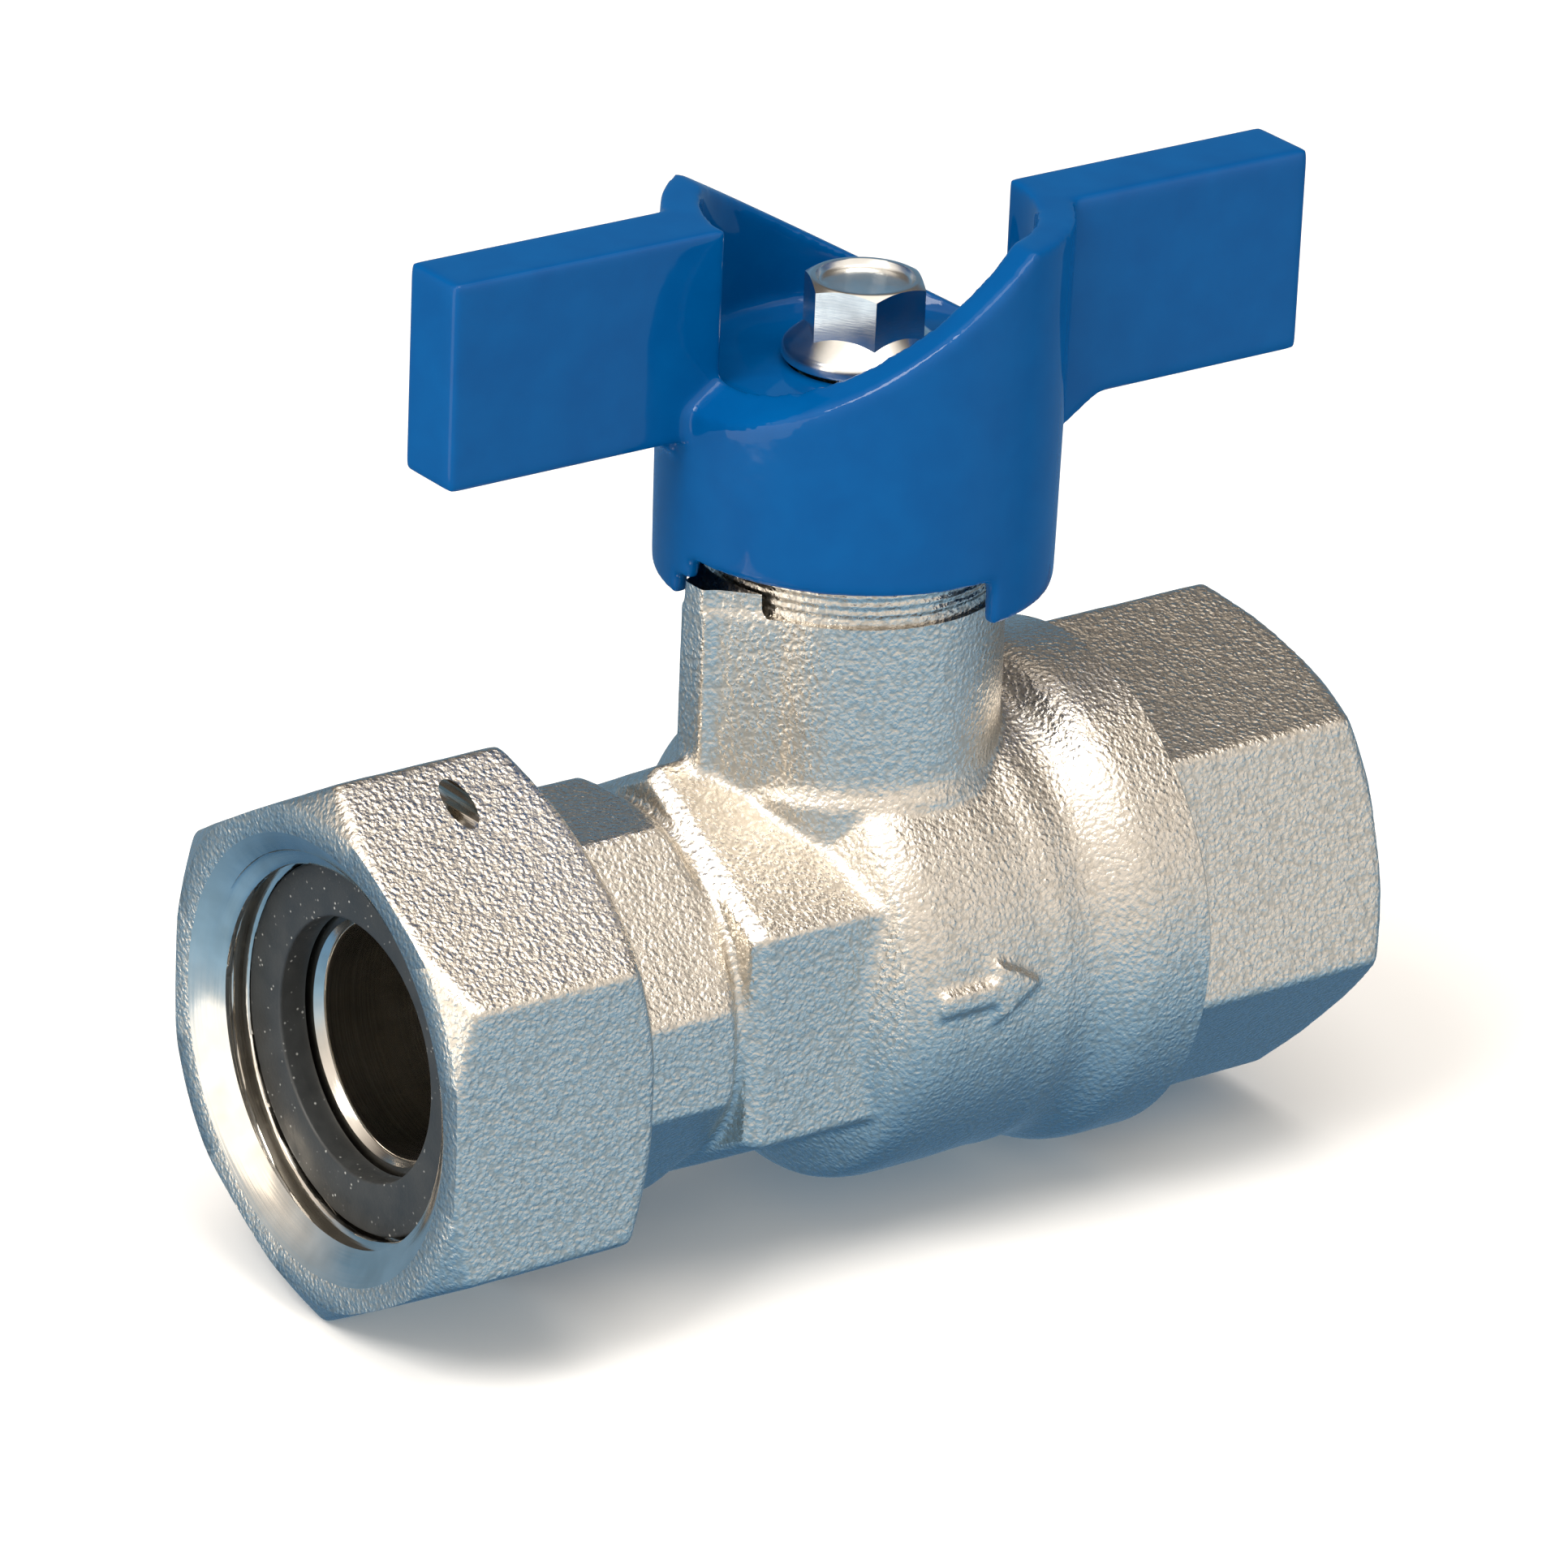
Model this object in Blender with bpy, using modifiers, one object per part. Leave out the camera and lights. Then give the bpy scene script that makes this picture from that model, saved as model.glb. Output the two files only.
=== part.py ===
"""Water shutoff valve: a forged ball valve with a union nut, a female pipe end and a wing handle.

Metres, +Z up. The origin is where the stem axis (Z) crosses the pipe axis (X).
The union nut is at -X, the female pipe end at +X. The valve is drawn open, the wings along the pipe.
"""

from math import asin, cos, pi, radians, sin, sqrt

import bmesh
import bpy
from mathutils import Matrix, Vector

MM = 0.001

# Pipe run, as positions along X (mm)
TAIL_FACE_X = -34.8
TAIL_FLANGE_REAR_X = -32.4
NECK_START_X = -24.7
NECK_END_X = -15.9
HEX_START_X = -14.8
HEX_END_X = -6.6
CHAMBER_START_X = -5.0
CHAMBER_END_X = 9.6
COLLAR_START_X = 12.0
COLLAR_END_X = 17.4
PIPE_END_X = 33.4

# Pipe run, radii (mm)
BORE_R = 7.5
TAIL_FLANGE_R = 11.9
TAIL_LAND_R = 11.0
NECK_R = 13.4
GROOVE_R = 12.0
BODY_FLATS = 25.0
CHAMBER_R = 15.9
COLLAR_R = 17.05
CAVITY_R = 12.0
BODY_THREAD_R = 13.2

# Seats and ball (mm)
BALL_R = 11.4
SEAT_OUTER_R = 10.8
SEAT_BACK_X = 11.0
SEAT_GAP = 0.3
SLOT_WIDTH = 4.6
SLOT_FLOOR_Z = 9.0

# End adapter (mm)
ADAPTER_FLATS = 28.2
ADAPTER_TURN = 16.0
ADAPTER_SPIGOT_R = 12.9
ADAPTER_NOSE_X = 6.6
PIPE_THREAD_R = 9.9
PIPE_THREAD_DEPTH = 14.0

# Union nut (mm); the nut is drawn pushed back against the neck
NUT_MOUTH_X = -40.0
NUT_LENGTH = 14.8
NUT_FLATS = 32.0
NUT_THREAD_R = 12.4
NUT_MOUTH_R = 14.5
NUT_LIP_R = 12.25
SEAL_HOLE_R = 1.1
SEAL_HOLE_X = -31.7
SEAL_HOLE_REACH = 16.7
RING_X = -28.5
RING_CENTRE_R = 12.0
RING_WIRE_R = 0.8
GASKET_R = 12.0
GASKET_BORE_R = 8.5
GASKET_THICKNESS = 2.0

# Stem tower and stem (mm)
TOWER_R = 9.85
TOWER_TOP_Z = 24.6
SPIGOT_R = 9.4
SPIGOT_TOP_Z = 29.5
STEM_R = 4.5
STEM_BORE_R = 4.75
SHOULDER_R = 6.3
GLAND_POCKET_R = 6.6
STUFFING_FLOOR_Z = 22.8
STEM_TOP_Z = 38.5
STEM_FLAT = 3.2
STOP_RIB_REACH = 12.35
STOP_RIB_TIP = 1.0
STOP_RIB_NECK_REACH = 11.5
STOP_RIB_NECK = 1.35
STOP_RIB_ROOT = 3.9
STOP_RIB_TOP_Z = 26.15

# Handle (mm, degrees measured from -Y towards -X)
HUB_TOP_R = 13.0
HUB_BOTTOM_R = 12.75
HUB_CUP_R = 10.5
SKIRT_R = 11.6
SKIRT_Z = 27.9
LUG_Z = 24.9
FLOOR_UNDER_Z = 36.3
FLOOR_Z = 38.9
WING_TIP_X = 30.6
WING_THICKNESS = 5.2
WING_OFFSET = 3.1
WING_BOTTOM_Z = 35.65
WING_TOP_Z = 49.25
SADDLE_FRONT = (46.7, 0.69)
SADDLE_BACK = (45.2, 0.57)
SADDLE_START_Y = -0.5
NOTCH_START = -7.8
NOTCH_END = 97.8

# Handle screw (mm)
SCREW_FLATS = 7.0
SCREW_TOP_Z = 44.5
SCREW_FLANGE_R = 5.1
SCREW_FLANGE_Z = 39.2
SCREW_THREAD_R = 2.4

ROUND = 48
FINE = 36
FAR = 60.0

NICKEL = ("nickel_plate", (0.62, 0.59, 0.55), 0.34, 1.0)
BRASS = ("brass", (0.70, 0.52, 0.25), 0.30, 1.0)
CHROME = ("chrome", (0.80, 0.80, 0.81), 0.08, 1.0)
ZINC = ("zinc_steel", (0.72, 0.73, 0.75), 0.22, 1.0)
ENAMEL = ("blue_enamel", (0.0, 0.105, 0.37), 0.22, 0.0)
RUBBER = ("black_rubber", (0.03, 0.03, 0.033), 0.6, 0.0)
FIBRE = ("grey_rubber", (0.09, 0.09, 0.095), 0.55, 0.0)
PTFE = ("white_ptfe", (0.86, 0.85, 0.82), 0.4, 0.0)

ALONG_X = Matrix.Rotation(pi / 2, 4, "Y")


def clear_scene():
    for old in list(bpy.data.objects):
        bpy.data.objects.remove(old, do_unlink=True)


def new_collection(name):
    collection = bpy.data.collections.new(name)
    bpy.context.scene.collection.children.link(collection)
    return collection


def material(finish):
    name, colour, roughness, metallic = finish
    found = bpy.data.materials.get(name)
    if found:
        return found
    made = bpy.data.materials.new(name)
    made.use_nodes = True
    shader = made.node_tree.nodes["Principled BSDF"]
    shader.inputs["Base Color"].default_value = (*colour, 1.0)
    shader.inputs["Roughness"].default_value = roughness
    shader.inputs["Metallic"].default_value = metallic
    return made


def add_object(name, shape, collection, finish=None, placement=None):
    """Turn a bmesh into an object; the placement is baked into the mesh."""
    if placement is not None:
        shape.transform(placement)
    mesh = bpy.data.meshes.new(name)
    shape.to_mesh(mesh)
    shape.free()
    made = bpy.data.objects.new(name, mesh)
    collection.objects.link(made)
    if finish:
        mesh.materials.append(material(finish))
    return made


def part(name, shape, finish, placement=None):
    return add_object(name, shape, PARTS, finish, placement)


def guide(name, shape, placement=None):
    made = add_object(name, shape, CUTTERS, None, placement)
    made.hide_render = True
    made.display_type = "WIRE"
    return made


def turned(profile, steps=ROUND, closed=False):
    """Revolve (radius, height) points in mm about Z; they run down the outside, top to bottom."""
    mesh = bpy.data.meshes.new("profile")
    points = [(radius * MM, 0.0, height * MM) for radius, height in profile]
    edges = [(i, i + 1) for i in range(len(points) - 1)]
    if closed:
        edges.append((len(points) - 1, 0))
    mesh.from_pydata(points, edges, [])
    spun = bpy.data.objects.new("profile", mesh)
    CUTTERS.objects.link(spun)
    screw = spun.modifiers.new("turn", "SCREW")
    screw.steps = steps
    screw.render_steps = steps
    screw.use_merge_vertices = True
    screw.merge_threshold = 0.000001
    bpy.context.view_layer.update()
    evaluated = spun.evaluated_get(bpy.context.evaluated_depsgraph_get())
    shape = bmesh.new()
    shape.from_mesh(evaluated.to_mesh())
    evaluated.to_mesh_clear()
    bpy.data.objects.remove(spun, do_unlink=True)
    bpy.data.meshes.remove(mesh)
    bmesh.ops.remove_doubles(shape, verts=shape.verts, dist=0.000001)
    return shape


def along_pipe(profile):
    """Points (radius, x) in mm from high x to low x, ready for turned() and ALONG_X."""
    return sorted(profile, key=lambda point: -point[1])


def prism(sides, flats, low, high, turn=0.0):
    """Upright prism: across-flats size and ends in mm; a corner on +X when turn is 0."""
    shape = bmesh.new()
    radius = flats / 2 / cos(pi / sides) * MM
    facing = Matrix.Rotation(radians(turn - 90.0), 4, "Z")
    middle = Matrix.Translation((0, 0, (low + high) / 2 * MM)) @ facing
    bmesh.ops.create_cone(shape, cap_ends=True, segments=sides, radius1=radius, radius2=radius,
                          depth=(high - low) * MM, matrix=middle)
    return shape


def box(low, high):
    """Box between two corners in mm."""
    size = [(b - a) * MM for a, b in zip(low, high)]
    centre = [(a + b) / 2 * MM for a, b in zip(low, high)]
    shape = bmesh.new()
    bmesh.ops.create_cube(shape, size=1.0, matrix=Matrix.Translation(centre) @ Matrix.Diagonal((*size, 1.0)))
    return shape


def outline_prism(points, low, high):
    """Extrude a flat outline, (x, y) points in mm going round anticlockwise, from low to high."""
    shape = bmesh.new()
    base = shape.faces.new([shape.verts.new((x * MM, y * MM, low * MM)) for x, y in points])
    grown = bmesh.ops.extrude_face_region(shape, geom=[base])
    for vertex in [item for item in grown["geom"] if isinstance(item, bmesh.types.BMVert)]:
        vertex.co.z = high * MM
    bmesh.ops.recalc_face_normals(shape, faces=shape.faces)
    return shape


def boolean(target, tool, operation):
    change = target.modifiers.new(tool.name, "BOOLEAN")
    change.operation = operation
    change.solver = "EXACT"
    change.object = tool


def join(target, name, shape, placement=None):
    boolean(target, guide(name, shape, placement), "UNION")


def cut(target, name, shape, placement=None):
    boolean(target, guide(name, shape, placement), "DIFFERENCE")


def keep_within(target, name, shape, placement=None):
    boolean(target, guide(name, shape, placement), "INTERSECT")


def finish_mesh(made, sharp_angle=35.0):
    """Apply the modifiers, drop stray loose verts and shade the round faces smooth."""
    bpy.context.view_layer.update()
    evaluated = made.evaluated_get(bpy.context.evaluated_depsgraph_get())
    mesh = bpy.data.meshes.new_from_object(evaluated)
    shape = bmesh.new()
    shape.from_mesh(mesh)
    bmesh.ops.remove_doubles(shape, verts=shape.verts, dist=0.000002)
    bmesh.ops.dissolve_degenerate(shape, edges=shape.edges, dist=0.000002)
    shape.to_mesh(mesh)
    shape.free()
    made.modifiers.clear()
    made.data = mesh
    mesh.shade_smooth()
    mesh.set_sharp_from_angle(angle=radians(sharp_angle))


def set_origin(made, place):
    """Move the object's origin to a point in mm and leave its shape where it is."""
    offset = Vector(place) * MM
    made.data.transform(Matrix.Translation(-offset))
    made.location = offset


def arc(radius, start, end, count, centre_r=0.0, centre_h=0.0):
    """Points on an arc, angles in degrees from the radial direction towards +height."""
    angles = [radians(start + (end - start) * i / count) for i in range(count + 1)]
    return [(centre_r + radius * cos(a), centre_h + radius * sin(a)) for a in angles]


def torus(centre_r, wire_r, height, steps=28, sides=6):
    """O-ring about Z, centred at a height in mm."""
    profile = arc(wire_r, 0.0, -360.0 * (sides - 1) / sides, sides - 1, centre_r, height)
    return turned(profile, steps, closed=True)


def ring(outer, inner, low, high, steps=FINE):
    return turned([(outer, high), (outer, low), (inner, low), (inner, high)], steps, closed=True)


def hex_blank(flats, low, high, chamfer_low, chamfer_high, turn):
    """Hexagon bar for ALONG_X and the turned shell that chamfers its corners at 30 degrees.

    One corner points up, leaned towards +Y by turn degrees.
    """
    corner = flats / 2 / cos(pi / 6)
    tangent_r = flats / 2 - 0.15
    run = (corner - tangent_r + 0.4) * 0.58
    profile = [(0.0, high)]
    profile += [(tangent_r, high), (tangent_r + run / 0.58, high - run)] if chamfer_high else [(corner + 1, high)]
    profile += [(tangent_r + run / 0.58, low + run), (tangent_r, low)] if chamfer_low else [(corner + 1, low)]
    profile += [(0.0, low)]
    return prism(6, flats, low, high, -turn), turned(profile)


def make_valve_body():
    bar = along_pipe([(0.0, TAIL_FACE_X), (TAIL_FLANGE_R, TAIL_FACE_X + 0.001),
                      (TAIL_FLANGE_R, TAIL_FLANGE_REAR_X), (TAIL_LAND_R, TAIL_FLANGE_REAR_X + 0.001),
                      (TAIL_LAND_R, NECK_START_X), (GROOVE_R, NECK_START_X + 0.001),
                      (GROOVE_R, HEX_START_X), (GROOVE_R, HEX_END_X - 0.5),
                      (CHAMBER_R - 0.5, CHAMBER_START_X), (CHAMBER_R, CHAMBER_START_X + 3.0),
                      (CHAMBER_R, CHAMBER_END_X - 2.0), (CHAMBER_R - 0.3, CHAMBER_END_X),
                      (COLLAR_R, COLLAR_START_X), (COLLAR_R, COLLAR_END_X - 0.7),
                      (COLLAR_R - 0.7, COLLAR_END_X - 0.001), (0.0, COLLAR_END_X)])
    body = part("valve_body", turned(bar), NICKEL, ALONG_X)

    neck_angles = (14, 70, 110, 166, 194, 250, 290, 346)
    neck = [(-NECK_R * sin(radians(a)), NECK_R * cos(radians(a))) for a in neck_angles]
    join(body, "neck_facets", outline_prism(neck, NECK_START_X, NECK_END_X), ALONG_X)
    join(body, "wrench_hexagon", prism(6, BODY_FLATS, HEX_START_X, HEX_END_X + 2.5), ALONG_X)
    join(body, "tower", turned([(0.0, TOWER_TOP_Z), (TOWER_R, TOWER_TOP_Z), (TOWER_R, 15.5),
                                (TOWER_R + 1.6, 12.5), (TOWER_R + 1.6, 9.0), (0.0, 9.0)]))
    join(body, "spigot", turned([(0.0, SPIGOT_TOP_Z), (SPIGOT_R, SPIGOT_TOP_Z), (SPIGOT_R, 20.0), (0.0, 20.0)]))
    rib = [(-7.0, STOP_RIB_ROOT), (-sqrt(TOWER_R ** 2 - STOP_RIB_ROOT ** 2), STOP_RIB_ROOT),
           (-STOP_RIB_NECK_REACH, STOP_RIB_NECK), (-STOP_RIB_REACH, STOP_RIB_TIP)]
    rib += [(x, -y) for x, y in rib[::-1]]
    stop_rib = outline_prism(rib, 11.0, STOP_RIB_TOP_Z)
    join(body, "stop_rib", stop_rib)
    cut(body, "rib_step", ring(14.0, SPIGOT_R + 0.001, TOWER_TOP_Z, STOP_RIB_TOP_Z + 5, ROUND))
    join(body, "stop_rib_tip", outline_prism([(-SPIGOT_R - 0.3, 3.3)] + rib[2:6] + [(-SPIGOT_R - 0.3, -3.3)],
                                             TOWER_TOP_Z - 3, STOP_RIB_TOP_Z))

    cavity = along_pipe([(0.0, TAIL_FACE_X - 1), (BORE_R + 1.7, TAIL_FACE_X - 0.999),
                         (BORE_R, TAIL_FACE_X + 0.7), (BORE_R, -SEAT_BACK_X - SEAT_GAP),
                         (SEAT_OUTER_R + SEAT_GAP, -SEAT_BACK_X - SEAT_GAP + 0.001),
                         (SEAT_OUTER_R + SEAT_GAP, -8.0), (CAVITY_R, -7.999), (CAVITY_R, 6.2),
                         (BODY_THREAD_R, 6.201), (BODY_THREAD_R, 15.4), (15.0, 15.401),
                         (15.0, COLLAR_END_X + 1), (0.0, COLLAR_END_X + 1.001)])
    cut(body, "waterway", turned(cavity), ALONG_X)
    cut(body, "stem_pocket", turned([(0.0, 40.0), (GLAND_POCKET_R, 40.0), (GLAND_POCKET_R, STUFFING_FLOOR_Z),
                                     (STEM_BORE_R, STUFFING_FLOOR_Z - 0.001), (STEM_BORE_R, 15.4),
                                     (GLAND_POCKET_R, 15.399), (GLAND_POCKET_R, 8.0), (0.0, 8.0)]))
    finish_mesh(body)


def make_end_adapter():
    low, high = COLLAR_END_X + SEAT_GAP, PIPE_END_X
    blank, shell = hex_blank(ADAPTER_FLATS, low, high, False, True, ADAPTER_TURN)
    adapter = part("end_adapter", blank, NICKEL, ALONG_X)
    keep_within(adapter, "adapter_chamfer", shell, ALONG_X)
    spigot = along_pipe([(0.0, low + 2), (ADAPTER_SPIGOT_R, low + 1.999),
                         (ADAPTER_SPIGOT_R, ADAPTER_NOSE_X), (0.0, ADAPTER_NOSE_X - 0.001)])
    join(adapter, "adapter_spigot", turned(spigot), ALONG_X)
    thread_end = PIPE_END_X - PIPE_THREAD_DEPTH
    bore = along_pipe([(0.0, PIPE_END_X + 1), (PIPE_THREAD_R + 1.9, PIPE_END_X + 0.999),
                       (PIPE_THREAD_R, PIPE_END_X - 1.1), (PIPE_THREAD_R, thread_end),
                       (BORE_R, thread_end - 1.2), (BORE_R, SEAT_BACK_X + SEAT_GAP),
                       (SEAT_OUTER_R + SEAT_GAP, SEAT_BACK_X + SEAT_GAP - 0.001),
                       (SEAT_OUTER_R + SEAT_GAP, ADAPTER_NOSE_X - 1), (0.0, ADAPTER_NOSE_X - 1.001)])
    cut(adapter, "adapter_waterway", turned(bore), ALONG_X)
    finish_mesh(adapter)


def make_seat(name, side):
    """PTFE seat ring whose face follows the ball; side is -1 for the meter side, +1 for the pipe side."""
    face_r = BALL_R + SEAT_GAP
    inner, outer = BORE_R + 0.15, SEAT_OUTER_R - 0.5
    angles = [asin(outer / face_r) + (asin(inner / face_r) - asin(outer / face_r)) * i / 5 for i in range(6)]
    face = [(face_r * sin(a), -face_r * cos(a)) for a in angles]
    lip = (SEAT_OUTER_R, face[0][1] - 0.2)
    profile = [lip, (SEAT_OUTER_R, -SEAT_BACK_X), (inner, -SEAT_BACK_X)] + face[::-1]
    seat = part(name, turned(profile, FINE, closed=True), PTFE, ALONG_X)
    if side > 0:
        seat.data.transform(Matrix.Rotation(pi, 4, "Z"))
    finish_mesh(seat)


def make_ball():
    rim = asin(BORE_R / BALL_R)
    count = 12
    angles = [pi / 2 - rim - (pi - 2 * rim) * i / count for i in range(count + 1)]
    profile = [(BALL_R * cos(a), BALL_R * sin(a)) for a in angles]
    ball = part("ball", turned(profile, FINE, closed=True), CHROME, ALONG_X)
    cut(ball, "stem_slot", box((-SLOT_WIDTH / 2, -FAR / 2, SLOT_FLOOR_Z), (SLOT_WIDTH / 2, FAR / 2, FAR / 2)))
    finish_mesh(ball)


def make_stem():
    groove_floor = 3.2
    groove_half = 1.0
    profile = [(0.0, STEM_TOP_Z), (STEM_R - 0.4, STEM_TOP_Z), (STEM_R, STEM_TOP_Z - 0.4)]
    for height in O_RING_HEIGHTS[::-1]:
        profile += [(STEM_R, height + groove_half), (groove_floor, height + groove_half - 0.001),
                    (groove_floor, height - groove_half), (STEM_R, height - groove_half - 0.001)]
    profile += [(STEM_R, 14.3), (SHOULDER_R, 14.299), (SHOULDER_R, 12.5), (0.0, 12.499)]
    stem = part("stem", turned(profile, FINE), BRASS)
    half = SLOT_WIDTH / 2 - SEAT_GAP
    join(stem, "tang", box((-half, -4.0, SLOT_FLOOR_Z + SEAT_GAP), (half, 4.0, 13.0)))
    for side in (-1, 1):
        flat = sorted((side * STEM_FLAT, side * FAR / 2))
        cut(stem, "stem_flat_%d" % side, box((-FAR / 2, flat[0], 34.2), (FAR / 2, flat[1], FAR)))
    cut(stem, "screw_hole", turned([(0.0, FAR), (SCREW_THREAD_R + 0.3, FAR), (SCREW_THREAD_R + 0.3, 27.5),
                                    (0.0, 26.5)], 24))
    finish_mesh(stem)


def make_stem_seals():
    part("thrust_washer", ring(SHOULDER_R - 0.1, STEM_R + 0.25, 14.5, 15.15), PTFE)
    for name, height in zip(("stem_o_ring_lower", "stem_o_ring_upper"), O_RING_HEIGHTS):
        part(name, torus(3.98, 0.65, height), RUBBER)
    part("packing_ring", ring(GLAND_POCKET_R - 0.3, STEM_R + 0.25, 23.1, 26.0), PTFE)
    part("adapter_o_ring", torus(13.9, 0.75, 16.4), RUBBER, ALONG_X)


def make_gland_nut():
    gland = part("gland_nut", prism(6, 14.0, SPIGOT_TOP_Z + 0.3, 33.2, 0.0), BRASS)
    keep_within(gland, "gland_chamfer", turned([(0.0, 33.2), (6.9, 33.2), (8.6, 32.2), (8.6, 25.0), (0.0, 25.0)]))
    join(gland, "gland_thread", turned([(0.0, 31.0), (6.3, 31.0), (6.3, 26.3), (0.0, 26.3)], FINE))
    cut(gland, "gland_bore", turned([(0.0, 36.0), (STEM_R + 0.25, 36.0), (STEM_R + 0.25, 20.0), (0.0, 20.0)], FINE))
    finish_mesh(gland)


def sector(start, end, reach, low, high):
    """Wedge about Z; angles in degrees from -Y towards -X."""
    count = 6
    angles = [radians(start + (end - start) * i / count) for i in range(count + 1)]
    points = [(0.0, 0.0)] + [(-reach * sin(a), -reach * cos(a)) for a in angles]
    return outline_prism(points, low, high)


def make_handle():
    hub_profile = [(0.0, WING_TOP_Z), (HUB_TOP_R, WING_TOP_Z), (HUB_BOTTOM_R, SKIRT_Z),
                   (HUB_BOTTOM_R - 0.05, LUG_Z), (0.0, LUG_Z)]
    handle = part("handle", turned(hub_profile), ENAMEL)
    for half, turn_by, (middle_z, slope) in (("front", 0.0, SADDLE_FRONT), ("back", pi, SADDLE_BACK)):
        edge = [(-FAR, middle_z - FAR * slope), (FAR, middle_z + FAR * slope), (FAR, 3 * FAR), (-FAR, 3 * FAR)]
        upright = Matrix.Rotation(turn_by, 4, "Z") @ Matrix.Rotation(pi / 2, 4, "X")
        cut(handle, "saddle_" + half, outline_prism(edge, SADDLE_START_Y, FAR / 2), upright)
    for side in (-1, 1):
        turn = Matrix.Rotation(0.0 if side > 0 else pi, 4, "Z")
        low_y, high_y = -WING_OFFSET - WING_THICKNESS / 2, -WING_OFFSET + WING_THICKNESS / 2
        wing = box((4.0, low_y, WING_BOTTOM_Z), (WING_TIP_X, high_y, WING_TOP_Z))
        join(handle, "wing_%d" % side, wing, turn)
        web = outline_prism([(8.0, 33.2), (12.2, 34.0), (15.2, WING_BOTTOM_Z + 0.3), (8.0, WING_BOTTOM_Z + 0.3)],
                            -low_y - 4.0, -low_y - 0.001)
        join(handle, "gusset_%d" % side, web, turn @ Matrix.Rotation(pi / 2, 4, "X"))
    cut(handle, "cup", turned([(0.0, FAR), (HUB_CUP_R, FAR), (HUB_CUP_R, FLOOR_Z + 0.6),
                               (HUB_CUP_R - 0.6, FLOOR_Z), (0.0, FLOOR_Z)]))
    cut(handle, "skirt_hollow", turned([(0.0, FLOOR_UNDER_Z), (SKIRT_R, FLOOR_UNDER_Z - 0.001),
                                        (SKIRT_R, 20.0), (0.0, 20.0)]))
    for start in (NOTCH_START, NOTCH_START + 180.0):
        cut(handle, "notch_%d" % start, sector(start, start + NOTCH_END - NOTCH_START, 20.0, 20.0, SKIRT_Z))
    cut(handle, "stem_hole", prism(ROUND, 2 * (STEM_R + 0.3), 30.0, 45.0))
    for side in (-1, 1):
        flat = sorted((side * (STEM_FLAT + 0.3), side * 6.0))
        join(handle, "hole_flat_%d" % side, box((-6.0, flat[0], FLOOR_UNDER_Z), (6.0, flat[1], FLOOR_Z)))
    finish_mesh(handle)


def make_handle_screw():
    screw = part("handle_screw", prism(6, SCREW_FLATS, SCREW_FLANGE_Z + 0.5, SCREW_TOP_Z, 4.0), ZINC)
    keep_within(screw, "screw_chamfer", turned([(0.0, SCREW_TOP_Z), (SCREW_FLATS / 2 - 0.05, SCREW_TOP_Z),
                                                (4.6, SCREW_TOP_Z - 0.65), (4.6, 38.0), (0.0, 38.0)]))
    join(screw, "flange", turned([(0.0, 41.6), (3.3, 41.5), (SCREW_FLANGE_R, SCREW_FLANGE_Z + 0.8),
                                  (SCREW_FLANGE_R, SCREW_FLANGE_Z), (SCREW_THREAD_R, SCREW_FLANGE_Z - 0.001),
                                  (SCREW_THREAD_R, 29.5), (SCREW_THREAD_R - 0.5, 29.0), (0.0, 29.0)], FINE))
    cut(screw, "dish", turned([(0.0, SCREW_TOP_Z + 1), (3.1, SCREW_TOP_Z + 0.999), (2.9, SCREW_TOP_Z - 0.9),
                               (0.0, SCREW_TOP_Z - 1.0)], FINE))
    finish_mesh(screw)


def make_swivel_nut():
    low, high = NUT_MOUTH_X, NUT_MOUTH_X + NUT_LENGTH
    blank, shell = hex_blank(NUT_FLATS, low, high, True, True, 0.0)
    nut = part("swivel_nut", blank, NICKEL, ALONG_X)
    keep_within(nut, "nut_chamfer", shell, ALONG_X)
    groove_low, groove_high = RING_X - 1.0, RING_X + 1.0
    bore = along_pipe([(0.0, low - 1), (NUT_MOUTH_R + 0.8, low - 0.999), (NUT_THREAD_R + 0.8, low + 1.6),
                       (NUT_THREAD_R, low + 1.601), (NUT_THREAD_R, groove_low - 1.2),
                       (NUT_LIP_R, groove_low - 1.199), (NUT_LIP_R, groove_low), (13.1, groove_low + 0.001),
                       (13.1, groove_high), (NUT_LIP_R, groove_high + 0.001), (NUT_LIP_R, high + 1),
                       (0.0, high + 1.001)])
    cut(nut, "nut_bore", turned(bore), ALONG_X)
    across = Matrix.Translation((SEAL_HOLE_X * MM, 0, SEAL_HOLE_REACH * MM)) @ Matrix.Rotation(pi / 2, 4, "X")
    cut(nut, "seal_wire_hole", turned([(0.0, 15.0), (SEAL_HOLE_R, 15.0), (SEAL_HOLE_R, -15.0), (0.0, -15.0)], 16),
        across)
    finish_mesh(nut)


def make_nut_ring_and_gasket():
    wire = part("nut_retaining_ring", torus(RING_CENTRE_R, RING_WIRE_R, RING_X, FINE, 8), ZINC, ALONG_X)
    cut(wire, "ring_gap", box((-FAR, -1.2, -FAR), (FAR, 1.2, 0.0)))
    finish_mesh(wire)
    back = TAIL_FACE_X - 0.2
    part("meter_gasket", ring(GASKET_R, GASKET_BORE_R, back - GASKET_THICKNESS, back, ROUND), FIBRE, ALONG_X)


O_RING_HEIGHTS = (17.6, 20.4)

clear_scene()
PARTS = new_collection("water_shutoff_valve")
CUTTERS = new_collection("cutters")

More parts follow.
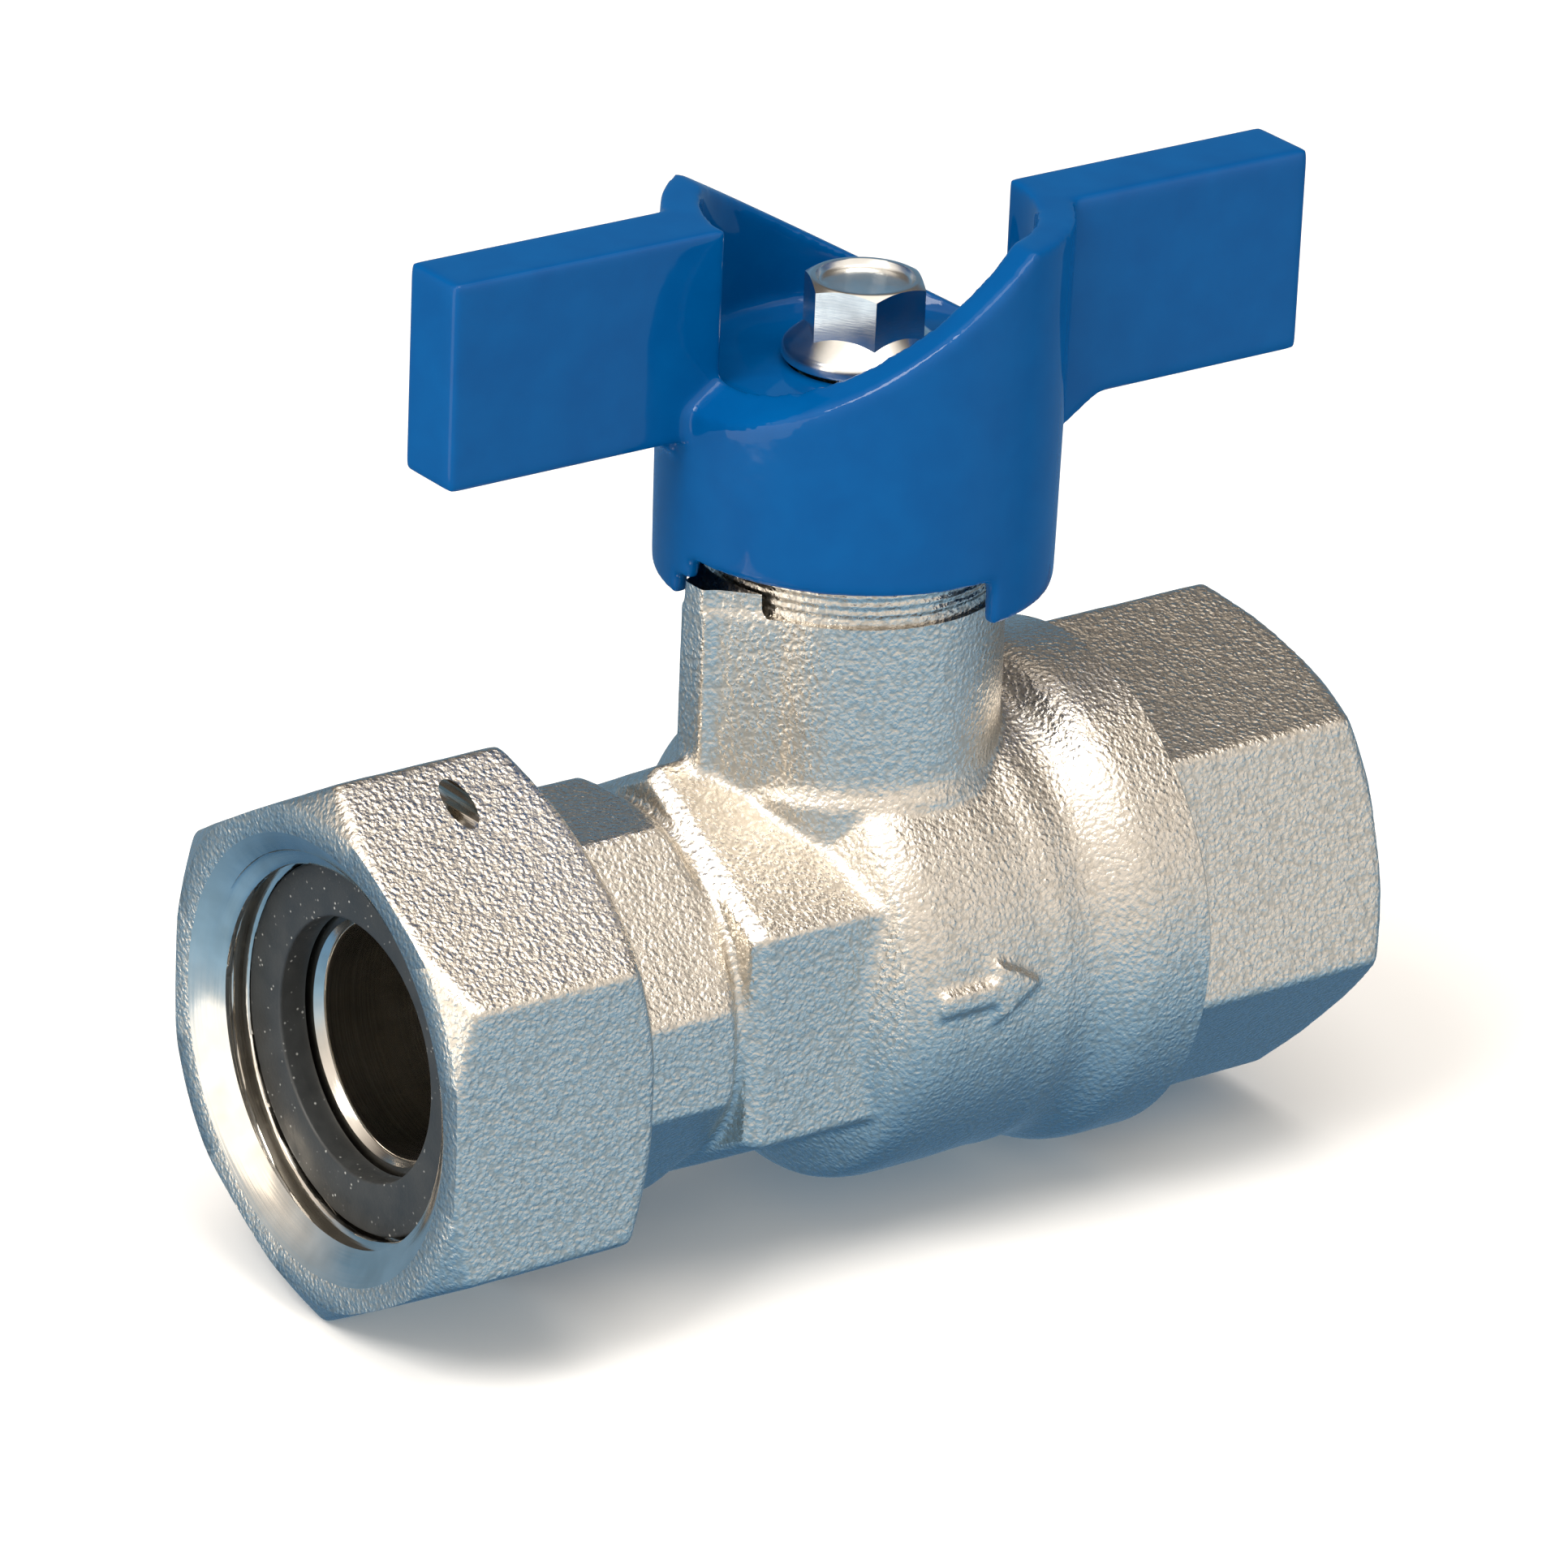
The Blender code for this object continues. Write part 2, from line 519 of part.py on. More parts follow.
make_valve_body()
make_end_adapter()
make_seat("seat_meter_side", -1)
make_seat("seat_pipe_side", 1)
make_ball()
make_stem()
make_stem_seals()
make_gland_nut()
make_handle()
make_handle_screw()
make_swivel_nut()
make_nut_ring_and_gasket()
for turning in ("stem", "handle", "handle_screw", "stem_o_ring_lower", "stem_o_ring_upper"):
    set_origin(bpy.data.objects[turning], (0.0, 0.0, 30.0))
for sliding in ("swivel_nut", "nut_retaining_ring"):
    set_origin(bpy.data.objects[sliding], (RING_X, 0.0, 0.0))
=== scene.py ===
"""Looks of the water shutoff valve: forged and machined surfaces, threads, enamel and studio.

Metres in the file, millimetres in the named sizes. The frame has its origin where the stem axis (Z)
crosses the pipe axis (X), with the union nut at -X.
"""

from math import acos, asin, cos, pi, radians, sin, tau

import bmesh
import bpy
import numpy as np
from mathutils import Matrix, Vector, noise


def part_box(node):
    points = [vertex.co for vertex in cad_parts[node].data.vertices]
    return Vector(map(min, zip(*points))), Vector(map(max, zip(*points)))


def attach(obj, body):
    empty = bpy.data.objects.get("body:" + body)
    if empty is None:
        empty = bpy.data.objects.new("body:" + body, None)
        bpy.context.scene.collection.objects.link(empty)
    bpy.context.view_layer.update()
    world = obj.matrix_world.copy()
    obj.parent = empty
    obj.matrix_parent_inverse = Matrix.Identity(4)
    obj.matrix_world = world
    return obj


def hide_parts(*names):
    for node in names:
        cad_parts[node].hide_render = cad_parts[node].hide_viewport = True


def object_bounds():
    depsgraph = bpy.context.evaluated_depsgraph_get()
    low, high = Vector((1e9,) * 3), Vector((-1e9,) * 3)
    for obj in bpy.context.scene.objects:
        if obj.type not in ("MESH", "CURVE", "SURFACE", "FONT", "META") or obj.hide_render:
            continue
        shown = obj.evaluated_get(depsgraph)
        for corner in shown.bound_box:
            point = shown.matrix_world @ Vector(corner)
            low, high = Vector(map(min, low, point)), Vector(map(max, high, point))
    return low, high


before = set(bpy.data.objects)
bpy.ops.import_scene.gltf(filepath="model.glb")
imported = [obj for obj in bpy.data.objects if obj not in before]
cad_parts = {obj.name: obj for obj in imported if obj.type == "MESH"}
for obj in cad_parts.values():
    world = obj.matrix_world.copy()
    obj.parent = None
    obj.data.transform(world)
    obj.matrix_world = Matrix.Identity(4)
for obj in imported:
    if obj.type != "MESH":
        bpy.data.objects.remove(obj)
CAD_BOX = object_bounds()

MM = 0.001
ALONG_X = Matrix.Rotation(pi / 2, 4, "Y")
FRONT = Matrix.Rotation(pi / 2, 4, "X")


def ends(node, axis):
    """Lowest and highest place of a CAD node along an axis, in mm."""
    low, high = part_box(node)
    return low["xyz".index(axis)] / MM, high["xyz".index(axis)] / MM


# Places along the pipe, read from the frame
TAIL_FACE_X, COLLAR_END_X = ends("valve_body", "x")
ADAPTER_NOSE_X, PIPE_END_X = ends("end_adapter", "x")
NUT_MOUTH_X, NUT_BACK_X = ends("swivel_nut", "x")
GASKET_FRONT_X, GASKET_BACK_X = ends("meter_gasket", "x")
RING_X = sum(ends("nut_retaining_ring", "x")) / 2
COLLAR_R = ends("valve_body", "y")[1]
GASKET_R = ends("meter_gasket", "y")[1]

# Heights, read from the frame
SPIGOT_TOP_Z = ends("valve_body", "z")[1]
STEM_TOP_Z = ends("stem", "z")[1]
LUG_Z, WING_TOP_Z = ends("handle", "z")
WING_TIP_X = ends("handle", "x")[1]
SCREW_END_Z, SCREW_TOP_Z = ends("handle_screw", "z")
GLAND_LOW_Z, GLAND_TOP_Z = ends("gland_nut", "z")

# Forged body (mm)
FLANGE_REAR_X = TAIL_FACE_X + 2.4
FLANGE_R = 11.9
LAND_R = 11.0
TAIL_ROOT_X = -23.2
NECK_START_X = -24.7
NECK_END_X = -16.4
NECK_R = 13.4
GROOVE_R = 11.8
HEX_START_X = -15.5
HEX_END_X = -6.6
HEX_FLATS = 25.0
HEX_DRAFT = 0.9
CHAMBER_START_X = -5.0
CHAMBER_END_X = 9.6
CHAMBER_R = 15.9
COLLAR_START_X = 12.0
BORE_R = 7.5
CAVITY_R = 12.0
CAVITY_START_X = -8.0
CAVITY_END_X = 6.2
BODY_THREAD_R = 13.2
SEAL_SEAT_R = 15.0
SEAL_SEAT_X = 15.4
ARROW_RISE = 0.6

# Stem tower (mm)
TOWER_R = 9.85
TOWER_TOP_Z = 24.6
TOWER_FOOT_R = TOWER_R + 0.6
TOWER_FOOT_Z = 12.6
SPIGOT_R = 9.4
GROOVE_PITCH = 0.58
GROOVE_DEPTH = 0.1
RIB_TOP_Z = 26.15
RIB_TIP = ((9.05, 3.9), (11.5, 1.35), (12.35, 1.0))
RIB_POINTS = ((8.4, 5.0), (11.6, 1.45), (12.35, 1.35))
GLAND_POCKET_R = 6.6
STUFFING_FLOOR_Z = 22.8
GLAND_FLATS = 14.0
GLAND_R = 8.6

# Ball, seats and stem (mm)
BALL_R = 11.4
SEAT_OUTER_R = 10.8
SEAT_BACK_X = 11.0
GAP = 0.3
SLOT_WIDTH = 4.6
SLOT_FLOOR_Z = 9.0
STEM_R = 4.5
SHOULDER_R = 6.3
SHOULDER_TOP_Z = 14.3
SHOULDER_LOW_Z = 12.5
SHOULDER_ROOM_Z = 15.4
STEM_BORE_R = STEM_R + 0.25
STEM_FLAT = 3.2
FLATS_START_Z = 34.2
O_RING_WIRE_R = 0.65

# End adapter (mm)
ADAPTER_FLATS = 28.2
ADAPTER_TURN = 16.0
ADAPTER_SPIGOT_R = 12.9
PIPE_THREAD_DEPTH = 14.0

# Union nut (mm)
NUT_FLATS = 32.0
NUT_MOUTH_R = 14.5
NUT_LIP_R = 12.25
NUT_GROOVE_R = 13.1
SEAL_HOLE_X = -31.7
SEAL_HOLE_REACH = 16.7
SEAL_HOLE_R = 1.0
RETAINING_RING_R = 12.0
RETAINING_WIRE_R = 0.79

# Pipe threads, the same pitch in both ends (mm)
PITCH = 1.814
NUT_THREAD = (12.12, 13.22)
PIPE_THREAD = (9.32, 10.48)

# Handle (mm; degrees from -Y towards -X)
HUB_TOP_R = 13.0
HUB_BOTTOM_R = 12.75
CUP_R = 10.5
SKIRT_R = 11.6
SKIRT_Z = 27.9
FLOOR_UNDER_Z = 36.3
FLOOR_Z = 38.9
WING_THICKNESS = 5.2
WING_OFFSET = 3.1
WING_BOTTOM_Z = 35.65
SADDLE_FRONT = (46.7, 0.69)
SADDLE_BACK = (45.2, 0.57)
SADDLE_START_Y = -0.5
NOTCH_START = -7.8
NOTCH_END = 97.8
NOTCH_STEP = 7.0
NOTCH_STEP_Z = 26.45

# Handle screw (mm)
SCREW_FLATS = 7.0
SCREW_FLANGE_R = 5.1
SCREW_FLANGE_Z = 39.2
SCREW_THREAD_R = 2.4

# Mesh detail; FAR is simply past the valve
ROUND = 144
SMALL_ROUND = 96
CORNER_STEPS = 4
THREAD_ROWS = 16
VOXEL = 0.25
FAR = 60.0

# Smoothing passes that round off a forging's or casting's edges
BODY_PASSES = 7
ADAPTER_PASSES = 12
NUT_PASSES = 16
HANDLE_PASSES = 20

# Uneven forged skin: depth and size of its lumps (mm)
SKIN_DEPTH = 0.022
SKIN_LUMPS = 2.4
FINE_SHARE = 0.3
FINE_DEPTH = 0.35
SKIN_SINK = 0.6

# Camera, at the angle the valve is seen from
VIEW_AZIMUTH = -36.576
VIEW_ELEVATION = 23.437
VIEW_ROLL = 2.476
VIEW_DISTANCE = 616.8
VIEW_AIM = (-3.72, 8.92)
LENS = 220.4


# ---------------------------------------------------------------- shapes


def soft(points):
    """Outline points (a, b) or (a, b, rounding): each corner with a rounding becomes a short curve."""
    made = []
    for i, point in enumerate(points):
        corner = Vector(point[:2])
        if len(point) == 2:
            made.append(tuple(corner))
            continue
        before = Vector(points[i - 1][:2]) - corner
        after = Vector(points[(i + 1) % len(points)][:2]) - corner
        start = corner + before.normalized() * min(point[2], before.length * 0.49)
        end = corner + after.normalized() * min(point[2], after.length * 0.49)
        for k in range(CORNER_STEPS + 1):
            t = k / CORNER_STEPS
            made.append(tuple(start * (1 - t) ** 2 + corner * 2 * t * (1 - t) + end * t ** 2))
    return made


def turned(points, steps=ROUND, closed=False):
    """Solid turned about Z from (radius, height) points in mm; closed makes a ring of a closed outline."""
    shape = bmesh.new()
    verts = [shape.verts.new((point[0] * MM, 0.0, point[1] * MM)) for point in soft(points)]
    edges = [shape.edges.new(pair) for pair in zip(verts, verts[1:])]
    if closed:
        edges.append(shape.edges.new((verts[-1], verts[0])))
    bmesh.ops.spin(shape, geom=verts + edges, cent=(0, 0, 0), axis=(0, 0, 1), angle=tau, steps=steps,
                   use_merge=True)
    bmesh.ops.remove_doubles(shape, verts=shape.verts, dist=1e-7)
    bmesh.ops.recalc_face_normals(shape, faces=shape.faces)
    return shape


def prism(sides, flats, low, high, turn=0.0, flats_low=None):
    """Upright prism by its size across flats in mm, with a corner on +X when turn is 0."""
    shape = bmesh.new()
    to_radius = MM / 2 / cos(pi / sides)
    facing = Matrix.Rotation(radians(turn - 90.0), 4, "Z")
    middle = Matrix.Translation((0, 0, (low + high) / 2 * MM)) @ facing
    bmesh.ops.create_cone(shape, cap_ends=True, segments=sides, radius1=(flats_low or flats) * to_radius,
                          radius2=flats * to_radius, depth=(high - low) * MM, matrix=middle)
    return shape


def box(low, high):
    size = [(b - a) * MM for a, b in zip(low, high)]
    centre = [(a + b) / 2 * MM for a, b in zip(low, high)]
    shape = bmesh.new()
    bmesh.ops.create_cube(shape, size=1.0, matrix=Matrix.Translation(centre) @ Matrix.Diagonal((*size, 1.0)))
    return shape


def outline_prism(points, low, high):
    """Outline of (x, y) points in mm, raised from low to high."""
    shape = bmesh.new()
    base = shape.faces.new([shape.verts.new((x * MM, y * MM, low * MM)) for x, y in soft(points)])
    grown = bmesh.ops.extrude_face_region(shape, geom=[base])
    for vertex in [item for item in grown["geom"] if isinstance(item, bmesh.types.BMVert)]:
        vertex.co.z = high * MM
    bmesh.ops.recalc_face_normals(shape, faces=shape.faces)
    return shape


def ring(outer, inner, low, high, rounding=0.0, steps=ROUND):
    corner = (rounding,) if rounding else ()
    places = ((outer, high), (outer, low), (inner, low), (inner, high))
    return turned([(*place, *corner) for place in places], steps, closed=True)


def torus(centre_r, wire_r, height, steps=ROUND):
    sides = 20
    angles = [tau * i / sides for i in range(sides)]
    outline = [(centre_r + wire_r * cos(a), height + wire_r * sin(a)) for a in angles]
    return turned(outline, steps, closed=True)


def thread(radii, low, high, pitch=PITCH, steps=SMALL_ROUND):
    """Rod about Z with a right-hand thread between two radii, the crests and roots rounded."""
    shape = bmesh.new()
    inner, outer = radii
    count = round((high - low) / pitch * THREAD_ROWS)
    grid = []
    for j in range(count + 1):
        height = low + (high - low) * j / count
        row = []
        for i in range(steps):
            phase = (height / pitch - i / steps) % 1.0
            rise = min(1.0, max(0.0, (abs(2 * phase - 1) - 0.12) / 0.76))
            radius = inner + (outer - inner) * rise * rise * (3 - 2 * rise)
            angle = tau * i / steps
            row.append(shape.verts.new((radius * cos(angle) * MM, radius * sin(angle) * MM, height * MM)))
        grid.append(row)
    for lower, upper in zip(grid, grid[1:]):
        for i in range(steps):
            k = (i + 1) % steps
            shape.faces.new((lower[i], lower[k], upper[k], upper[i]))
    shape.faces.new(grid[0][::-1])
    shape.faces.new(grid[-1])
    return shape


def solid(shape, finish, placement=None):
    """Object from a bmesh, which is freed; the placement is baked in."""
    if placement is not None:
        shape.transform(placement)
    mesh = bpy.data.meshes.new("solid")
    shape.to_mesh(mesh)
    shape.free()
    mesh.materials.append(finish)
    made = bpy.data.objects.new("solid", mesh)
    bpy.context.scene.collection.objects.link(made)
    return made


def bake(target):
    """Applies the modifiers of an object."""
    bpy.context.view_layer.update()
    old = target.data
    depsgraph = bpy.context.evaluated_depsgraph_get()
    target.data = bpy.data.meshes.new_from_object(target.evaluated_get(depsgraph))
    target.modifiers.clear()
    bpy.data.meshes.remove(old)
    return target


def combine(target, tools, operation):
    for tool in tools:
        change = target.modifiers.new("combine", "BOOLEAN")
        change.operation = operation
        change.solver = "MANIFOLD"
        change.object = tool
        bake(target)
        bpy.data.objects.remove(tool)
    return target


def join(target, *tools):
    return combine(target, tools, "UNION")


def cut(target, *tools):
    return combine(target, tools, "DIFFERENCE")


def keep_within(target, *tools):
    return combine(target, tools, "INTERSECT")


def soften(target, passes):
    """Rounds every edge of a solid the way forging or casting leaves it."""
    remesh = target.modifiers.new("skin", "REMESH")
    remesh.mode = "VOXEL"
    remesh.voxel_size = VOXEL * MM
    smooth = target.modifiers.new("soft", "SMOOTH")
    smooth.factor = 0.5
    smooth.iterations = passes
    finish = target.data.materials[0]
    bake(target)
    target.data.materials.clear()
    target.data.materials.append(finish)
    return target


def dapple(target, seed):
    """Uneven forged surface: moves each point along its normal by smooth noise."""
    mesh = target.data
    points = np.empty(len(mesh.vertices) * 3)
    normals = np.empty(len(mesh.vertices) * 3)
    mesh.vertices.foreach_get("co", points)
    mesh.vertex_normals.foreach_get("vector", normals)
    shift = Vector((seed, seed * 0.37, seed * 0.71))
    broad_scale, fine_scale = 1 / (SKIN_LUMPS * MM), 1 / (SKIN_LUMPS * FINE_SHARE * MM)
    rise = [noise.noise(place * broad_scale + shift) + FINE_DEPTH * noise.noise(place * fine_scale - shift)
            - SKIN_SINK for place in map(Vector, points.reshape(-1, 3))]
    moved = points.reshape(-1, 3) + normals.reshape(-1, 3) * (np.array(rise) * SKIN_DEPTH * MM)[:, None]
    mesh.vertices.foreach_set("co", moved.ravel())
    return target


def piece(name, made, body, slot, *nodes, sharp=38.0):
    """Finished piece: named, kept inside the CAD nodes it stands for, and riding on its body."""
    made.name = name
    mesh = made.data
    mesh.name = name
    shape = bmesh.new()
    shape.from_mesh(mesh)
    bmesh.ops.remove_doubles(shape, verts=shape.verts, dist=0.002 * MM)
    bmesh.ops.dissolve_degenerate(shape, edges=shape.edges, dist=0.002 * MM)
    shape.to_mesh(mesh)
    shape.free()
    corners = np.array([[*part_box(node)[0], *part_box(node)[1]] for node in nodes])
    low, high = corners[:, :3].min(0), corners[:, 3:].max(0)
    points = np.empty(len(mesh.vertices) * 3)
    mesh.vertices.foreach_get("co", points)
    mesh.vertices.foreach_set("co", np.clip(points.reshape(-1, 3), low, high).ravel())
    mesh.shade_smooth()
    mesh.set_sharp_from_angle(angle=radians(sharp))
    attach(made, body)
    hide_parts(*nodes)
    return made


# ---------------------------------------------------------------- materials


def new_material(name, colour, roughness, metallic=0.0, **constants):
    made = bpy.data.materials.new(name)
    made.use_nodes = True
    shader = made.node_tree.nodes["Principled BSDF"]
    shader.inputs["Base Color"].default_value = (*colour, 1.0)
    shader.inputs["Roughness"].default_value = roughness
    shader.inputs["Metallic"].default_value = metallic
    for socket, value in constants.items():
        shader.inputs[socket.replace("_", " ")].default_value = value
    return made, made.node_tree, shader


def add(tree, kind, settings=(), **inputs):
    """Adds a node; an input is linked when its value is a socket and set otherwise."""
    made = tree.nodes.new("ShaderNode" + kind)
    for key, value in dict(settings).items():
        setattr(made, key, value)
    for key, value in inputs.items():
        socket = made.inputs[int(key[1:])] if key[0] == "i" and key[1:].isdigit() else made.inputs[key]
        if isinstance(value, bpy.types.NodeSocket):
            tree.links.new(value, socket)
        else:
            socket.default_value = value
    return made


def object_place(tree, stretch=(1.0, 1.0, 1.0)):
    place = add(tree, "TexCoord").outputs["Object"]
    if stretch == (1.0, 1.0, 1.0):
        return place
    return add(tree, "Mapping", Vector=place, Scale=stretch).outputs["Vector"]


def speckle(tree, size, detail=2.0, place=None, stretch=(1.0, 1.0, 1.0)):
    """Noise between 0 and 1 whose lumps are about size mm across."""
    vector = place or object_place(tree, stretch)
    return add(tree, "TexNoise", Vector=vector, Scale=1.0 / (size * MM), Detail=detail).outputs["Fac"]


def spread(tree, value, low, high, to_low=0.0, to_high=1.0):
    """Maps low..high to to_low..to_high, held at both ends."""
    made = add(tree, "MapRange", i0=value, i1=low, i2=high, i3=to_low, i4=to_high)
    return made.outputs["Result"]


def mixed(tree, share, first, second):
    """Colour between first and second."""
    return add(tree, "Mix", {"data_type": "RGBA"}, i0=share, i6=(*first, 1.0), i7=(*second, 1.0)).outputs[2]


def relief(tree, heights):
    """Chain of bumps from (height socket, depth in mm, strength); returns the normal."""
    normal = None
    for height, depth, strength in heights:
        bump = add(tree, "Bump", Height=height, Distance=depth * MM, Strength=strength)
        if normal is not None:
            tree.links.new(normal, bump.inputs["Normal"])
        normal = bump.outputs["Normal"]
    return normal


def connect(tree, shader, **sockets):
    for key, socket in sockets.items():
        tree.links.new(socket, shader.inputs[key.replace("_", " ")])


def shot_blasted_nickel():
    """Nickel over a forged and blasted skin: small rounded grains, with painted shade darkening the gaps
    between them.
    """
    made, tree, shader = new_material("shot_blasted_nickel", (0.70, 0.65, 0.58), 0.26, 1.0)
    place = object_place(tree)
    wander = add(tree, "TexNoise", Vector=place, Scale=1.0 / (0.6 * MM), Detail=1.0).outputs["Color"]
    drift = add(tree, "VectorMath", {"operation": "SCALE"}, i0=wander, Scale=0.35 * MM).outputs["Vector"]
    bent = add(tree, "VectorMath", {"operation": "ADD"}, i0=place, i1=drift).outputs["Vector"]
    cells = add(tree, "TexVoronoi", Vector=bent, Scale=1.0 / (0.36 * MM)).outputs["Distance"]
    grain = spread(tree, cells, 0.1, 0.8, 1.0, 0.0)
    lumps = speckle(tree, 0.34, 2.0)
    cloud = speckle(tree, 3.5, 3.0)
    # Grain pattern in the colour, darker in the gaps: painted shade in the hollows between grains
    colour = mixed(tree, spread(tree, grain, 0.1, 0.5), (0.58, 0.535, 0.47), (0.71, 0.665, 0.60))
    gloss = spread(tree, grain, 0.1, 0.6, 0.36, 0.24)
    normal = relief(tree, ((cloud, 0.05, 0.5), (lumps, 0.11, 0.75), (grain, 0.045, 0.7)))
    connect(tree, shader, Base_Color=colour, Roughness=gloss, Normal=normal)
    return made


def lathe_place(tree):
    """Coordinates (distance along X, radius about X) as a vector, for marks left by turning."""
    parts = add(tree, "SeparateXYZ", Vector=add(tree, "TexCoord").outputs["Object"])
    y, z = parts.outputs["Y"], parts.outputs["Z"]
    y_squared = add(tree, "Math", {"operation": "MULTIPLY"}, i0=y, i1=y).outputs[0]
    z_squared = add(tree, "Math", {"operation": "MULTIPLY"}, i0=z, i1=z).outputs[0]
    total = add(tree, "Math", {"operation": "ADD"}, i0=y_squared, i1=z_squared).outputs[0]
    radius = add(tree, "Math", {"operation": "SQRT"}, i0=total).outputs[0]
    return add(tree, "CombineXYZ", X=parts.outputs["X"], Y=radius).outputs["Vector"]


def turned_metal(name, dark, light, roughness):
    """Metal with the fine rings of a lathe tool."""
    made, tree, shader = new_material(name, light, roughness, 1.0)
    place = lathe_place(tree)
    lines = speckle(tree, 0.16, 1.0, place)
    cloud = speckle(tree, 2.5, 2.0)
    colour = mixed(tree, spread(tree, cloud, 0.3, 0.7), dark, light)
    gloss = spread(tree, lines, 0.3, 0.7, roughness * 1.25, roughness * 0.8)
    normal = relief(tree, ((lines, 0.012, 0.6),))
    connect(tree, shader, Base_Color=colour, Roughness=gloss, Normal=normal)
    return made


def plain_metal(name, dark, light, roughness, scratch=0.3):
    """Metal with fine scratches that run round the stem axis."""
    made, tree, shader = new_material(name, light, roughness, 1.0)
    scratches = speckle(tree, 0.35, 2.0, stretch=(0.35, 0.35, 3.0))
    cloud = speckle(tree, 1.6, 2.0)
    colour = mixed(tree, spread(tree, cloud, 0.3, 0.7), dark, light)
    gloss = spread(tree, cloud, 0.3, 0.7, roughness * 1.3, roughness * 0.8)
    normal = relief(tree, ((scratches, 0.01, scratch),))
    connect(tree, shader, Base_Color=colour, Roughness=gloss, Normal=normal)
    return made


def blue_enamel():
    made, tree, shader = new_material("blue_enamel", (0.0, 0.06, 0.21), 0.3, 0.0, Specular_IOR_Level=0.0,
                                      Coat_Weight=0.6, Coat_Roughness=0.05, Coat_IOR=1.45)
    flow = speckle(tree, 3.2, 2.0)
    peel = speckle(tree, 0.8, 1.0)
    colour = mixed(tree, spread(tree, flow, 0.3, 0.7), (0.0, 0.056, 0.20), (0.0, 0.064, 0.22))
    gloss = spread(tree, peel, 0.3, 0.7, 0.36, 0.26)
    normal = relief(tree, ((flow, 0.02, 0.3), (peel, 0.006, 0.4)))
    connect(tree, shader, Base_Color=colour, Roughness=gloss, Normal=normal)
    tree.links.new(normal, shader.inputs["Coat Normal"])
    return made


def flecked_rubber(name, base, fleck, share, roughness=0.5):
    """Moulded rubber with light specks of filler."""
    made, tree, shader = new_material(name, base, roughness)
    cells = add(tree, "TexVoronoi", Vector=object_place(tree), Scale=1.0 / (0.45 * MM))
    spots = spread(tree, cells.outputs["Distance"], 0.10, 0.24, 1.0, 0.0)
    chosen = spread(tree, speckle(tree, 0.7, 2.0), 1.0 - share, 1.0 - share + 0.08)
    flecks = add(tree, "Math", {"operation": "MULTIPLY"}, i0=spots, i1=chosen).outputs[0]
    cloud = speckle(tree, 2.2, 3.0)
    ground = mixed(tree, spread(tree, cloud, 0.3, 0.7), base, tuple(1.5 * c for c in base))
    colour = add(tree, "Mix", {"data_type": "RGBA"}, i0=flecks, i6=ground, i7=(*fleck, 1.0)).outputs[2]
    gloss = spread(tree, cloud, 0.3, 0.7, roughness * 0.85, roughness * 1.15)
    normal = relief(tree, ((speckle(tree, 0.3, 2.0), 0.03, 0.5),))
    connect(tree, shader, Base_Color=colour, Roughness=gloss, Normal=normal)
    return made


def ptfe():
    made, tree, shader = new_material("white_ptfe", (0.84, 0.83, 0.80), 0.4, Specular_IOR_Level=0.4)
    cloud = speckle(tree, 1.8, 3.0)
    colour = mixed(tree, spread(tree, cloud, 0.3, 0.7), (0.80, 0.79, 0.75), (0.88, 0.87, 0.84))
    normal = relief(tree, ((speckle(tree, 0.4, 2.0), 0.02, 0.4),))
    gloss = spread(tree, cloud, 0.3, 0.7, 0.45, 0.35)
    connect(tree, shader, Base_Color=colour, Roughness=gloss, Normal=normal)
    return made


CAST = shot_blasted_nickel()
TURNED = turned_metal("turned_nickel", (0.62, 0.58, 0.52), (0.76, 0.72, 0.66), 0.14)
# Dark nickel for the turned spigot: painted shade, standing in for the shadow and dark reflection under the
# handle's skirt
SKIRT_SHADED_NICKEL = plain_metal("skirt_shaded_nickel", (0.17, 0.155, 0.135), (0.42, 0.39, 0.34), 0.12)
BRASS = turned_metal("turned_brass", (0.66, 0.46, 0.20), (0.78, 0.58, 0.28), 0.24)
CHROME = plain_metal("hard_chrome", (0.74, 0.74, 0.75), (0.82, 0.82, 0.83), 0.07, 0.1)
ZINC = plain_metal("zinc_steel", (0.70, 0.70, 0.69), (0.84, 0.84, 0.82), 0.2)
SPRING = plain_metal("spring_wire", (0.36, 0.36, 0.37), (0.50, 0.50, 0.51), 0.25)
ENAMEL = blue_enamel()
GASKET = flecked_rubber("gasket_rubber", (0.019, 0.021, 0.022), (0.34, 0.35, 0.34), 0.46)
O_RING = flecked_rubber("o_ring_rubber", (0.014, 0.014, 0.015), (0.03, 0.03, 0.03), 0.3, 0.38)
PTFE = ptfe()


# ---------------------------------------------------------------- body


def neck_blank():
    """Faceted neck whose end runs out round towards the groove."""
    corners = (14, 70, 110, 166, 194, 250, 290, 346)
    outline = [(-NECK_R * sin(radians(a)), NECK_R * cos(radians(a))) for a in corners]
    neck = solid(outline_prism(outline, NECK_START_X, NECK_END_X + 0.3), CAST, ALONG_X)
    run_out = [(0.0, NECK_END_X + 0.3), (GROOVE_R - 0.5, NECK_END_X + 0.3),
               (NECK_R + 0.1, NECK_END_X - 0.9, 0.7), (NECK_R + 0.1, NECK_START_X - 1),
               (0.0, NECK_START_X - 1)]
    return keep_within(neck, solid(turned(run_out), CAST, ALONG_X))


